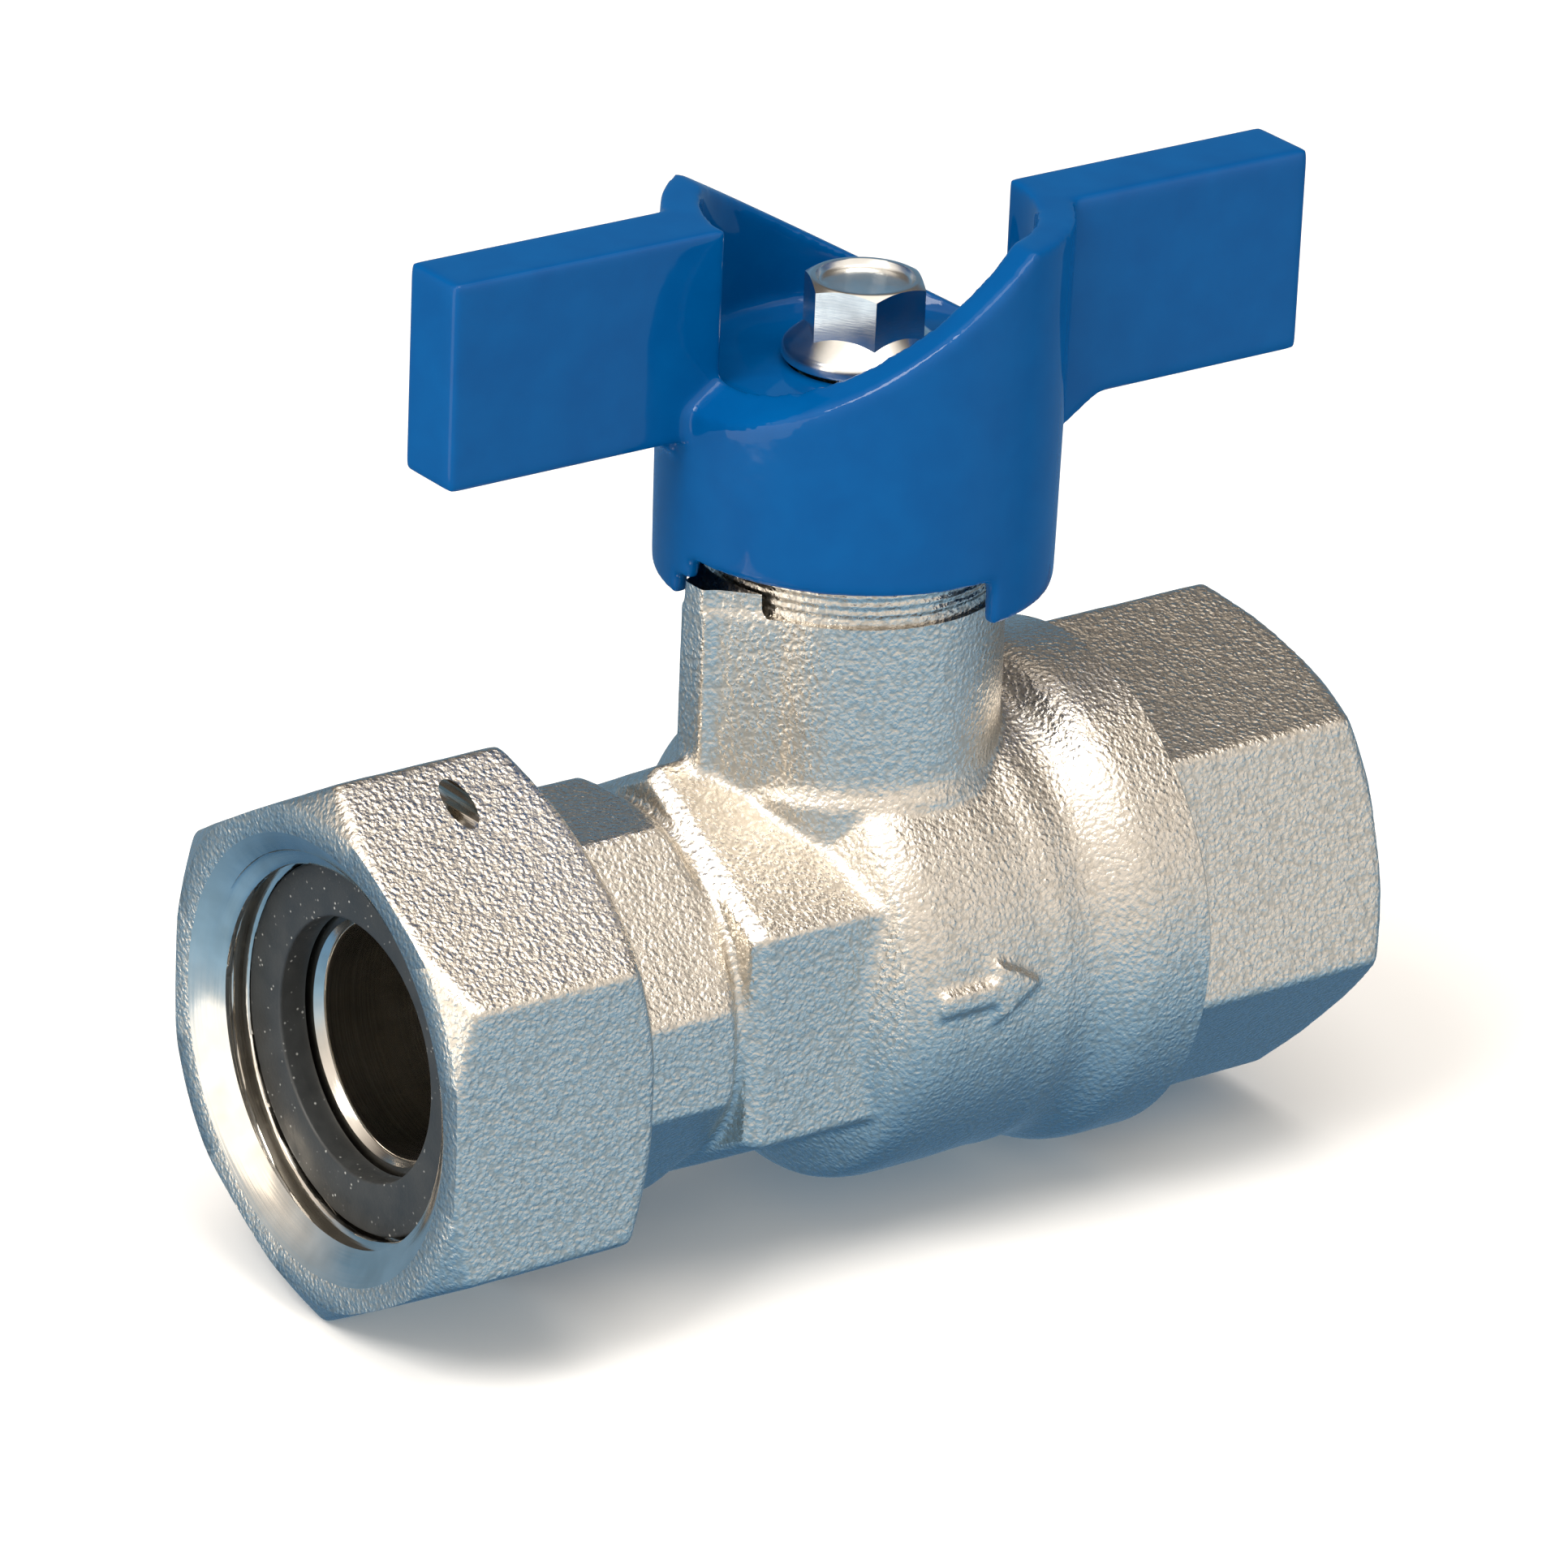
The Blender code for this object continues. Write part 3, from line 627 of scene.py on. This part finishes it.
def flow_arrow():
    """Plain raised arrow on the chamber's front, along the pipe."""
    tail_x, neck_x, tip_x, middle_z = -3.4, 0.9, 4.4, 1.4
    half_shaft, half_head = 0.75, 2.1
    outline = [(tail_x, -half_shaft), (neck_x, -half_shaft), (neck_x, -half_head), (tip_x, 0.0),
               (neck_x, half_head), (neck_x, half_shaft), (tail_x, half_shaft)]
    outline = [(x, z + middle_z) for x, z in outline]
    arrow = solid(outline_prism(outline, CHAMBER_R - 2.0, CHAMBER_R + 1.0), CAST, FRONT)
    top = CHAMBER_R + ARROW_RISE
    raised = turned([(0.0, 8.0), (top, 8.0), (top, -8.0), (0.0, -8.0)])
    return keep_within(arrow, solid(raised, CAST, ALONG_X))


def stop_rib(points, low, high):
    """Rib on the tower's side towards the nut, from (reach, half width) points."""
    inside_tower = -6.0
    half = [(inside_tower, points[0][1])] + [(-reach, width) for reach, width in points]
    outline = half + [(x, -y) for x, y in half[::-1]]
    return solid(outline_prism(outline, low, high), CAST)


def forged_core():
    """The forging before its edges are softened: bar, neck, hexagon, tower, stop rib and arrow."""
    bar = [(0.0, COLLAR_END_X + 0.6), (COLLAR_R, COLLAR_END_X + 0.6), (COLLAR_R, COLLAR_START_X, 1.6),
           (CHAMBER_R - 0.25, CHAMBER_END_X, 1.6), (CHAMBER_R, 6.4, 0.6), (CHAMBER_R - 0.12, 5.2, 0.6),
           (CHAMBER_R, 2.0), (CHAMBER_R, CHAMBER_START_X + 1.5, 1.5),
           (CHAMBER_R - 0.5, CHAMBER_START_X, 0.5),
           (GROOVE_R, HEX_END_X - 0.9), (GROOVE_R, NECK_START_X + 1.0), (0.0, NECK_START_X + 1.0)]
    core = solid(turned(bar), CAST, ALONG_X)
    draft_end = HEX_START_X + HEX_DRAFT
    wrench = prism(6, HEX_FLATS, draft_end, HEX_END_X + 2.4)
    draft = prism(6, HEX_FLATS, HEX_START_X, draft_end + 0.01, flats_low=HEX_FLATS - 1.2)
    tower = turned([(0.0, TOWER_TOP_Z + 1), (TOWER_R, TOWER_TOP_Z + 1), (TOWER_R, TOWER_FOOT_Z + 1.0, 0.8),
                    (TOWER_FOOT_R, TOWER_FOOT_Z), (TOWER_FOOT_R, 9.0), (0.0, 9.0)])
    return join(core, neck_blank(), solid(draft, CAST, ALONG_X), solid(wrench, CAST, ALONG_X),
                solid(tower, CAST), stop_rib(RIB_POINTS, 11.0, TOWER_TOP_Z),
                stop_rib(RIB_TIP, 12.0, RIB_TOP_Z + 1.0), flow_arrow())


def spigot_profile():
    """Turned spigot with the fine grooves that show under the handle's skirt."""
    points = [(0.0, SPIGOT_TOP_Z), (SPIGOT_R - 0.4, SPIGOT_TOP_Z), (SPIGOT_R, SPIGOT_TOP_Z - 0.4)]
    height = SKIRT_Z + 0.4
    while height > TOWER_TOP_Z + GROOVE_PITCH:
        points += [(SPIGOT_R, height, 0.08), (SPIGOT_R - GROOVE_DEPTH, height - GROOVE_PITCH / 2, 0.1)]
        height -= GROOVE_PITCH
    return points + [(SPIGOT_R, height), (SPIGOT_R, TOWER_TOP_Z - 2), (0.0, TOWER_TOP_Z - 2)]


def face_off(start, end):
    """Disc wider than the valve, which leaves a flat face across the pipe."""
    return solid(turned([(0.0, end), (FAR, end), (FAR, start), (0.0, start)]), TURNED, ALONG_X)


def machine_tower(body):
    """Flat top of the tower, the end of the rib above it and room for the spigot."""
    clear_z = TOWER_TOP_Z + 4
    above = [ring(TOWER_R + 0.25, SPIGOT_R - 1.5, TOWER_TOP_Z, clear_z),
             ring(FAR, TOWER_R + 0.2, RIB_TOP_Z, RIB_TOP_Z + 4),
             turned([(0.0, clear_z), (SPIGOT_R, clear_z), (SPIGOT_R, TOWER_TOP_Z + 0.01),
                     (0.0, TOWER_TOP_Z + 0.01)])]
    cut(body, *[solid(shape, TURNED) for shape in above])


def machine_collar(body):
    """Flat face and turned chamfer where the female end screws in."""
    clear_x, edge_x = COLLAR_END_X + 1, COLLAR_END_X - 1.3
    chamfer = [(FAR, clear_x), (COLLAR_R - 1.2, clear_x), (COLLAR_R + 1.0, edge_x), (FAR, edge_x)]
    cut(body, face_off(COLLAR_END_X, COLLAR_END_X + 2), solid(turned(chamfer, closed=True), TURNED, ALONG_X))


def bore_body(body):
    """Waterway from end to end, and the stem's pocket from above."""
    seat_r, seat_x = SEAT_OUTER_R + GAP, -SEAT_BACK_X - GAP
    waterway = [(0.0, COLLAR_END_X + 1), (SEAL_SEAT_R, COLLAR_END_X + 1), (SEAL_SEAT_R, SEAL_SEAT_X),
                (BODY_THREAD_R, SEAL_SEAT_X), (BODY_THREAD_R, CAVITY_END_X), (CAVITY_R, CAVITY_END_X),
                (CAVITY_R, CAVITY_START_X), (seat_r, CAVITY_START_X), (seat_r, seat_x), (BORE_R, seat_x),
                (BORE_R, TAIL_FACE_X + 0.5, 0.25), (BORE_R + 1.5, TAIL_FACE_X - 1), (0.0, TAIL_FACE_X - 1)]
    pocket = [(0.0, 40.0), (GLAND_POCKET_R, 40.0), (GLAND_POCKET_R, STUFFING_FLOOR_Z),
              (STEM_BORE_R, STUFFING_FLOOR_Z), (STEM_BORE_R, SHOULDER_ROOM_Z),
              (GLAND_POCKET_R, SHOULDER_ROOM_Z), (GLAND_POCKET_R, 8.0), (0.0, 8.0)]
    cut(body, solid(turned(waterway), TURNED, ALONG_X), solid(turned(pocket, SMALL_ROUND), TURNED))


def make_valve_body():
    body = dapple(soften(forged_core(), BODY_PASSES), 3.0)
    machine_tower(body)
    machine_collar(body)
    tail = [(0.0, TAIL_ROOT_X), (LAND_R, TAIL_ROOT_X), (LAND_R, FLANGE_REAR_X, 0.3),
            (FLANGE_R, FLANGE_REAR_X, 0.15), (FLANGE_R, TAIL_FACE_X, 0.3), (0.0, TAIL_FACE_X)]
    # The spigot takes the darker nickel, painted shade from the handle's skirt above it
    join(body, solid(turned(tail), TURNED, ALONG_X), solid(turned(spigot_profile()), SKIRT_SHADED_NICKEL))
    bore_body(body)
    piece("valve_body_forging", body, "valve", "nickel_plated_brass", "valve_body")


# ---------------------------------------------------------------- ends


def hexagon_blank(flats, low, high, chamfer_low, chamfer_high, turn):
    """Forged hexagon with its corners chamfered at about 30 degrees on the asked ends."""
    corner = flats / 2 / cos(pi / 6)
    tangent_r = flats / 2 - 0.15
    slope = 0.58
    run = (corner - tangent_r + 0.4) * slope
    reach = tangent_r + run / slope
    profile = [(0.0, high)]
    profile += [(tangent_r, high), (reach, high - run)] if chamfer_high else [(corner + 1, high)]
    profile += [(reach, low + run), (tangent_r, low)] if chamfer_low else [(corner + 1, low)]
    profile += [(0.0, low)]
    blank = solid(prism(6, flats, low, high, -turn), CAST, ALONG_X)
    return keep_within(blank, solid(turned(profile), CAST, ALONG_X))


def make_end_adapter():
    low = COLLAR_END_X + GAP
    adapter = hexagon_blank(ADAPTER_FLATS, low - 0.6, PIPE_END_X + 0.25, False, True, ADAPTER_TURN)
    dapple(soften(adapter, ADAPTER_PASSES), 11.0)
    cut(adapter, face_off(PIPE_END_X, PIPE_END_X + 2), face_off(low - 2, low))
    spigot = [(0.0, low + 1), (ADAPTER_SPIGOT_R, low + 1), (ADAPTER_SPIGOT_R, ADAPTER_NOSE_X, 0.4),
              (0.0, ADAPTER_NOSE_X)]
    join(adapter, solid(turned(spigot), TURNED, ALONG_X))
    minor, major = PIPE_THREAD
    thread_end = PIPE_END_X - PIPE_THREAD_DEPTH
    crest_r = minor + 0.03
    seat_r, seat_x = SEAT_OUTER_R + GAP, SEAT_BACK_X + GAP
    bore = [(0.0, PIPE_END_X + 1), (major + 1.4, PIPE_END_X + 1), (crest_r, PIPE_END_X - 1.3),
            (crest_r, thread_end), (BORE_R, thread_end - 1.2), (BORE_R, seat_x), (seat_r, seat_x),
            (seat_r, ADAPTER_NOSE_X - 1), (0.0, ADAPTER_NOSE_X - 1)]
    cut(adapter, solid(turned(bore), TURNED, ALONG_X),
        solid(thread(PIPE_THREAD, thread_end + 0.6, PIPE_END_X + 0.5), TURNED, ALONG_X))
    piece("end_adapter_forging", adapter, "valve", "nickel_plated_brass", "end_adapter")


def make_swivel_nut():
    nut = hexagon_blank(NUT_FLATS, NUT_MOUTH_X - 0.35, NUT_BACK_X, True, True, 0.0)
    dapple(soften(nut, NUT_PASSES), 23.0)
    minor, major = NUT_THREAD
    crest_r = minor + 0.03
    groove_low, groove_high = RING_X - 1.0, RING_X + 1.0
    bore = [(0.0, NUT_BACK_X + 1), (NUT_LIP_R + 1.2, NUT_BACK_X + 1), (NUT_LIP_R, NUT_BACK_X - 0.4),
            (NUT_LIP_R, groove_high), (NUT_GROOVE_R, groove_high), (NUT_GROOVE_R, groove_low),
            (NUT_LIP_R, groove_low), (NUT_LIP_R, groove_low - 1.2), (crest_r, groove_low - 1.2),
            (crest_r, NUT_MOUTH_X + 1.3), (major, NUT_MOUTH_X + 0.85), (NUT_MOUTH_R, NUT_MOUTH_X),
            (NUT_MOUTH_R + 0.9, NUT_MOUTH_X - 1), (0.0, NUT_MOUTH_X - 1)]
    cut(nut, face_off(NUT_MOUTH_X - 2, NUT_MOUTH_X), solid(turned(bore), TURNED, ALONG_X),
        solid(thread(NUT_THREAD, NUT_MOUTH_X - 0.5, groove_low - 1.4), TURNED, ALONG_X))
    across = Matrix.Translation((SEAL_HOLE_X * MM, 0, SEAL_HOLE_REACH * MM)) @ FRONT
    hole = [(0.0, 15.0), (SEAL_HOLE_R, 15.0), (SEAL_HOLE_R, -15.0), (0.0, -15.0)]
    cut(nut, solid(turned(hole, 40), TURNED, across))
    piece("swivel_nut_forging", nut, "nut", "nickel_plated_brass", "swivel_nut")


def make_retaining_ring():
    """Spring wire with a gap underneath, in its groove inside the nut."""
    half_gap = 1.2
    wire = solid(torus(RETAINING_RING_R, RETAINING_WIRE_R, RING_X), SPRING, ALONG_X)
    cut(wire, solid(box((-FAR, -half_gap, -FAR), (FAR, half_gap, 0.0)), SPRING))
    piece("retaining_ring_wire", wire, "nut_ring", "spring_wire", "nut_retaining_ring")


def make_gasket():
    washer = solid(ring(GASKET_R, 8.5, GASKET_FRONT_X, GASKET_BACK_X, 0.22), GASKET, ALONG_X)
    piece("meter_gasket_washer", washer, "valve", "gasket_rubber", "meter_gasket")


# ---------------------------------------------------------------- inside


def make_ball():
    """Ball with its bore along the pipe and the stem's slot on top."""
    rim = acos(BORE_R / BALL_R)
    steps = 40
    angles = [rim - 2 * rim * i / steps for i in range(1, steps)]
    rounding = [(BALL_R * cos(a), BALL_R * sin(a)) for a in angles]
    inset = 0.25
    edge = BALL_R * sin(rim) - inset
    outline = [(BORE_R, edge, inset), *rounding, (BORE_R, -edge, inset)]
    ball = solid(turned(outline, closed=True), CHROME, ALONG_X)
    half, past = SLOT_WIDTH / 2, FAR / 2
    cut(ball, solid(box((-half, -past, SLOT_FLOOR_Z), (half, past, past)), CHROME))
    piece("bored_ball", ball, "ball", "chromed_brass", "ball")


def make_seat(node, side):
    """Seat ring whose face follows the ball; side is -1 towards the meter."""
    face_r = BALL_R + GAP
    inner, outer = BORE_R + 0.15, SEAT_OUTER_R - 0.5
    start, end = asin(inner / face_r), asin(outer / face_r)
    steps = 10
    angles = [start + (end - start) * i / steps for i in range(steps + 1)]
    face = [(face_r * sin(a), -face_r * cos(a)) for a in angles]
    lip = (SEAT_OUTER_R, face[-1][1] - 0.2, 0.15)
    outline = [lip, (SEAT_OUTER_R, -SEAT_BACK_X, 0.2), (inner, -SEAT_BACK_X, 0.15), *face]
    seat = solid(turned(outline, closed=True), PTFE, ALONG_X)
    if side > 0:
        seat.data.transform(Matrix.Rotation(pi, 4, "Z"))
    piece(node + "_ring", seat, "valve", "ptfe", node)


def make_stem():
    """Stem with its two O-rings: grooves, shoulder, tongue below, flats and a tapped hole on top."""
    profile = [(0.0, STEM_TOP_Z), (STEM_R - 0.4, STEM_TOP_Z), (STEM_R, STEM_TOP_Z - 0.4)]
    for node in ("stem_o_ring_upper", "stem_o_ring_lower"):
        low, high = ends(node, "z")
        top, bottom, root_r = high + 0.35, low - 0.35, STEM_R - 1.3
        profile += [(STEM_R, top), (root_r, top), (root_r, bottom), (STEM_R, bottom)]
        centre_r = ends(node, "y")[1] - O_RING_WIRE_R
        seal = solid(torus(centre_r, O_RING_WIRE_R, (low + high) / 2, SMALL_ROUND), O_RING)
        piece(node + "_seal", seal, "handle_set", "o_ring_rubber", node)
    profile += [(STEM_R, SHOULDER_TOP_Z), (SHOULDER_R, SHOULDER_TOP_Z, 0.2),
                (SHOULDER_R, SHOULDER_LOW_Z, 0.2), (0.0, SHOULDER_LOW_Z)]
    stem = solid(turned(profile, SMALL_ROUND), BRASS)
    half = SLOT_WIDTH / 2 - GAP
    join(stem, solid(box((-half, -4.0, SLOT_FLOOR_Z + GAP), (half, 4.0, 13.0)), BRASS))
    for side in (-1, 1):
        flat = sorted((side * STEM_FLAT, side * FAR / 2))
        cut(stem, solid(box((-FAR / 2, flat[0], FLATS_START_Z), (FAR / 2, flat[1], FAR)), BRASS))
    hole = [(0.0, FAR), (SCREW_THREAD_R + 0.3, FAR), (SCREW_THREAD_R + 0.3, 27.5), (0.0, 26.5)]
    cut(stem, solid(turned(hole, 48), BRASS))
    piece("stem_spindle", stem, "handle_set", "brass", "stem")


def make_seals():
    low, high = ends("thrust_washer", "z")
    washer = solid(ring(SHOULDER_R - 0.1, STEM_BORE_R, low, high, 0.12, SMALL_ROUND), PTFE)
    piece("thrust_washer_disc", washer, "valve", "ptfe", "thrust_washer")
    low, high = ends("packing_ring", "z")
    packing = solid(ring(GLAND_POCKET_R - GAP, STEM_BORE_R, low, high, 0.25, SMALL_ROUND), PTFE)
    piece("packing_ring_sleeve", packing, "valve", "ptfe", "packing_ring")
    low, high = ends("adapter_o_ring", "x")
    outer = ends("adapter_o_ring", "y")[1]
    wire_r = (high - low) / 2
    seal = solid(torus(outer - wire_r, wire_r, (low + high) / 2), O_RING, ALONG_X)
    piece("adapter_o_ring_seal", seal, "valve", "o_ring_rubber", "adapter_o_ring")


def make_gland_nut():
    """Hexagonal brass nut whose threaded collar goes down into the stuffing box."""
    seat_z = SPIGOT_TOP_Z + GAP
    gland = solid(prism(6, GLAND_FLATS, seat_z, GLAND_TOP_Z), BRASS)
    shell = [(0.0, GLAND_TOP_Z), (GLAND_FLATS / 2 - 0.1, GLAND_TOP_Z), (GLAND_R, GLAND_TOP_Z - 1.0),
             (GLAND_R, seat_z + 0.6), (GLAND_R - 1.1, seat_z - 0.1), (0.0, seat_z - 0.1)]
    keep_within(gland, solid(turned(shell, SMALL_ROUND), BRASS))
    collar = thread((5.85, 6.3), GLAND_LOW_Z, GLAND_LOW_Z + 4.0, 1.0)
    join(gland, solid(collar, BRASS))
    bore = [(0.0, 36.0), (STEM_R + 0.6, 36.0), (STEM_R + 0.6, GLAND_TOP_Z),
            (STEM_BORE_R, GLAND_TOP_Z - 0.35), (STEM_BORE_R, 20.0), (0.0, 20.0)]
    cut(gland, solid(turned(bore, SMALL_ROUND), BRASS))
    piece("gland_nut_brass", gland, "valve", "brass", "gland_nut")


# ---------------------------------------------------------------- handle


def sector(start, end, reach, low, high):
    """Wedge about Z; angles in degrees from -Y towards -X."""
    count = 40
    angles = [radians(start + (end - start) * i / count) for i in range(count + 1)]
    return outline_prism([(0.0, 0.0)] + [(-reach * sin(a), -reach * cos(a)) for a in angles], low, high)


def handle_blank():
    """Hub with a slanted cut on each side, two wings, their webs, the cup and the stop notches."""
    hub = [(0.0, WING_TOP_Z), (HUB_TOP_R, WING_TOP_Z), (HUB_BOTTOM_R, SKIRT_Z), (HUB_BOTTOM_R - 0.05, LUG_Z),
           (0.0, LUG_Z)]
    handle = solid(turned(hub), ENAMEL)
    low_y, high_y = -WING_OFFSET - WING_THICKNESS / 2, -WING_OFFSET + WING_THICKNESS / 2
    web = [(8.0, 33.2), (12.2, 34.0), (15.2, WING_BOTTOM_Z + 0.3), (8.0, WING_BOTTOM_Z + 0.3)]
    halves = (Matrix.Identity(4), Matrix.Rotation(pi, 4, "Z"))
    for turn, (middle_z, slope) in zip(halves, (SADDLE_FRONT, SADDLE_BACK)):
        rise = FAR * slope
        edge = [(-FAR, middle_z - rise), (FAR, middle_z + rise), (FAR, 3 * FAR), (-FAR, 3 * FAR)]
        cut(handle, solid(outline_prism(edge, SADDLE_START_Y, FAR / 2), ENAMEL, turn @ FRONT))
    for turn in halves:
        wing = box((4.0, low_y, WING_BOTTOM_Z), (WING_TIP_X, high_y, WING_TOP_Z))
        join(handle, solid(wing, ENAMEL, turn),
             solid(outline_prism(web, -low_y - 4.0, -low_y - 0.001), ENAMEL, turn @ FRONT))
    cup = [(0.0, FAR), (CUP_R, FAR), (CUP_R, FLOOR_Z, 0.8), (0.0, FLOOR_Z)]
    hollow = [(0.0, FLOOR_UNDER_Z), (SKIRT_R, FLOOR_UNDER_Z, 0.6), (SKIRT_R, 20.0), (0.0, 20.0)]
    cut(handle, solid(turned(cup), ENAMEL), solid(turned(hollow), ENAMEL))
    for start in (NOTCH_START, NOTCH_START + 180.0):
        end = start + NOTCH_END - NOTCH_START
        cut(handle, solid(sector(start, end, 20.0, 20.0, NOTCH_STEP_Z), ENAMEL),
            solid(sector(start, end - NOTCH_STEP, 20.0, 20.0, SKIRT_Z), ENAMEL))
    return handle


def make_handle():
    handle = soften(handle_blank(), HANDLE_PASSES)
    hole = solid(prism(SMALL_ROUND, 2 * (STEM_R + GAP), 30.0, 45.0), ENAMEL)
    flats = box((-FAR, -STEM_FLAT - GAP, 20.0), (FAR, STEM_FLAT + GAP, 50.0))
    cut(handle, keep_within(hole, solid(flats, ENAMEL)))
    piece("butterfly_handle", handle, "handle_set", "blue_enamel", "handle")


def make_handle_screw():
    """Flanged hexagon screw with a shallow dish in its head."""
    head = solid(prism(6, SCREW_FLATS, SCREW_FLANGE_Z + 0.5, SCREW_TOP_Z, 4.0), ZINC)
    shell = [(0.0, SCREW_TOP_Z), (SCREW_FLATS / 2 - 0.05, SCREW_TOP_Z, 0.12), (4.6, SCREW_TOP_Z - 0.65),
             (4.6, 38.0), (0.0, 38.0)]
    keep_within(head, solid(turned(shell, SMALL_ROUND), ZINC))
    flange = [(0.0, 41.6), (3.3, 41.5, 0.4), (SCREW_FLANGE_R, SCREW_FLANGE_Z + 0.8, 0.35),
              (SCREW_FLANGE_R, SCREW_FLANGE_Z, 0.2), (1.5, SCREW_FLANGE_Z), (0.0, SCREW_FLANGE_Z)]
    shank = thread((SCREW_THREAD_R - 0.4, SCREW_THREAD_R), SCREW_END_Z, SCREW_FLANGE_Z + 0.5, 0.8, 48)
    join(head, solid(turned(flange, SMALL_ROUND), ZINC), solid(shank, ZINC))
    dish = [(0.0, SCREW_TOP_Z + 1), (3.2, SCREW_TOP_Z + 1), (3.15, SCREW_TOP_Z, 0.08),
            (2.9, SCREW_TOP_Z - 0.5, 0.2), (0.0, SCREW_TOP_Z - 0.5)]
    cut(head, solid(turned(dish, SMALL_ROUND), ZINC))
    piece("flange_screw", head, "handle_set", "zinc_steel", "handle_screw")


# ---------------------------------------------------------------- studio


def make_floor():
    """Pale floor that the metal neither mirrors nor is shaded by.

    The room below the horizon lights the valve's underside through it, as a wide cool bounce would.
    """
    shape = bmesh.new()
    bmesh.ops.create_grid(shape, x_segments=8, y_segments=8, size=6.0)
    shape.transform(Matrix.Translation((0, 0, CAD_BOX[0].z)))
    made, tree, shader = new_material("pale_floor", (0.88, 0.88, 0.885), 0.8)
    haze = speckle(tree, 900.0, 1.0)
    connect(tree, shader, Base_Color=mixed(tree, haze, (0.87, 0.87, 0.875), (0.89, 0.89, 0.895)))
    floor = solid(shape, made)
    floor.name = "floor"
    floor.visible_glossy = False
    floor.visible_shadow = False


# Light from the room by height (0 straight below, 0.5 at the horizon, 1 straight above)
ROOM_IN_FRONT = ((0.0, (0.14, 0.30, 0.50)), (0.25, (0.34, 0.56, 0.76)), (0.38, (0.62, 0.77, 0.90)),
                 (0.50, (0.82, 0.81, 0.78)), (0.66, (1.10, 1.02, 0.93)), (0.92, (1.20, 1.10, 0.98)))
ROOM_BEHIND = ((0.0, (0.03, 0.12, 0.26)), (0.38, (0.20, 0.33, 0.46)), (0.66, (0.13, 0.25, 0.37)),
               (0.77, (0.12, 0.10, 0.085)), (0.89, (0.16, 0.14, 0.12)), (0.945, (1.25, 1.12, 0.97)))


def room_colour(tree, height, stops):
    ramp = add(tree, "ValToRGB", Fac=height)
    elements = ramp.color_ramp.elements
    while len(elements) < len(stops):
        elements.new(0.5)
    for element, (place, colour) in zip(elements, stops):
        element.position = place
        element.color = (*colour, 1.0)
    return ramp.outputs["Color"]


def make_world():
    """Bright warm room in front and above, cool below the horizon and dim behind."""
    world = bpy.data.worlds.new("studio")
    bpy.context.scene.world = world
    world.use_nodes = True
    tree = world.node_tree
    direction = add(tree, "TexCoord").outputs["Generated"]
    height = spread(tree, add(tree, "SeparateXYZ", Vector=direction).outputs["Z"], -1.0, 1.0)
    facing = add(tree, "VectorMath", {"operation": "DOT_PRODUCT"}, i0=direction, i1=(-0.62, -0.78, 0.0))
    share = spread(tree, facing.outputs["Value"], -0.35, 0.2)
    light = add(tree, "Mix", {"data_type": "RGBA"}, i0=share, i6=room_colour(tree, height, ROOM_BEHIND),
                i7=room_colour(tree, height, ROOM_IN_FRONT)).outputs[2]
    tree.links.new(light, tree.nodes["Background"].inputs["Color"])


def make_light(name, azimuth, elevation, distance, size, power, colour):
    """Soft square light that faces the valve; azimuth 0 is in front (-Y) and 90 at +X."""
    a, e = radians(azimuth), radians(elevation)
    direction = Vector((sin(a) * cos(e), -cos(a) * cos(e), sin(e)))
    data = bpy.data.lights.new(name, "AREA")
    data.shape = "SQUARE"
    data.size = size
    data.energy = power
    data.color = colour
    lamp = bpy.data.objects.new(name, data)
    bpy.context.scene.collection.objects.link(lamp)
    lamp.location = direction * distance + Vector((0, 0, 10 * MM))
    lamp.rotation_mode = "QUATERNION"
    lamp.rotation_quaternion = direction.to_track_quat("Z", "Y")


def make_camera():
    a, e, r = radians(-VIEW_AZIMUTH), radians(VIEW_ELEVATION), radians(VIEW_ROLL)
    right = Vector((cos(a), -sin(a), 0.0))
    forward = Vector((sin(a) * cos(e), cos(a) * cos(e), -sin(e)))
    up = right.cross(forward)
    along = right * cos(r) + up * sin(r)
    above = up * cos(r) - right * sin(r)
    place = (right * VIEW_AIM[0] + up * VIEW_AIM[1] - forward * VIEW_DISTANCE) * MM
    data = bpy.data.cameras.new("camera")
    data.lens = LENS
    data.clip_start = 0.01
    camera = bpy.data.objects.new("camera", data)
    bpy.context.scene.collection.objects.link(camera)
    camera.matrix_world = Matrix.Translation(place) @ Matrix((along, above, -forward)).transposed().to_4x4()
    bpy.context.scene.camera = camera


make_camera()
make_world()
make_floor()
make_light("key", -75.0, 48.0, 0.75, 0.32, 4.0, (1.0, 0.96, 0.90))
make_light("left", -95.0, 0.0, 0.8, 0.6, 1.4, (1.0, 0.86, 0.70))
make_light("top", -8.0, 72.0, 0.85, 0.6, 4.0, (1.0, 0.96, 0.90))
bpy.context.scene.view_settings.view_transform = "Standard"

make_valve_body()
make_end_adapter()
make_swivel_nut()
make_retaining_ring()
make_gasket()
make_ball()
make_seat("seat_meter_side", -1)
make_seat("seat_pipe_side", 1)
make_stem()
make_seals()
make_gland_nut()
make_handle()
make_handle_screw()
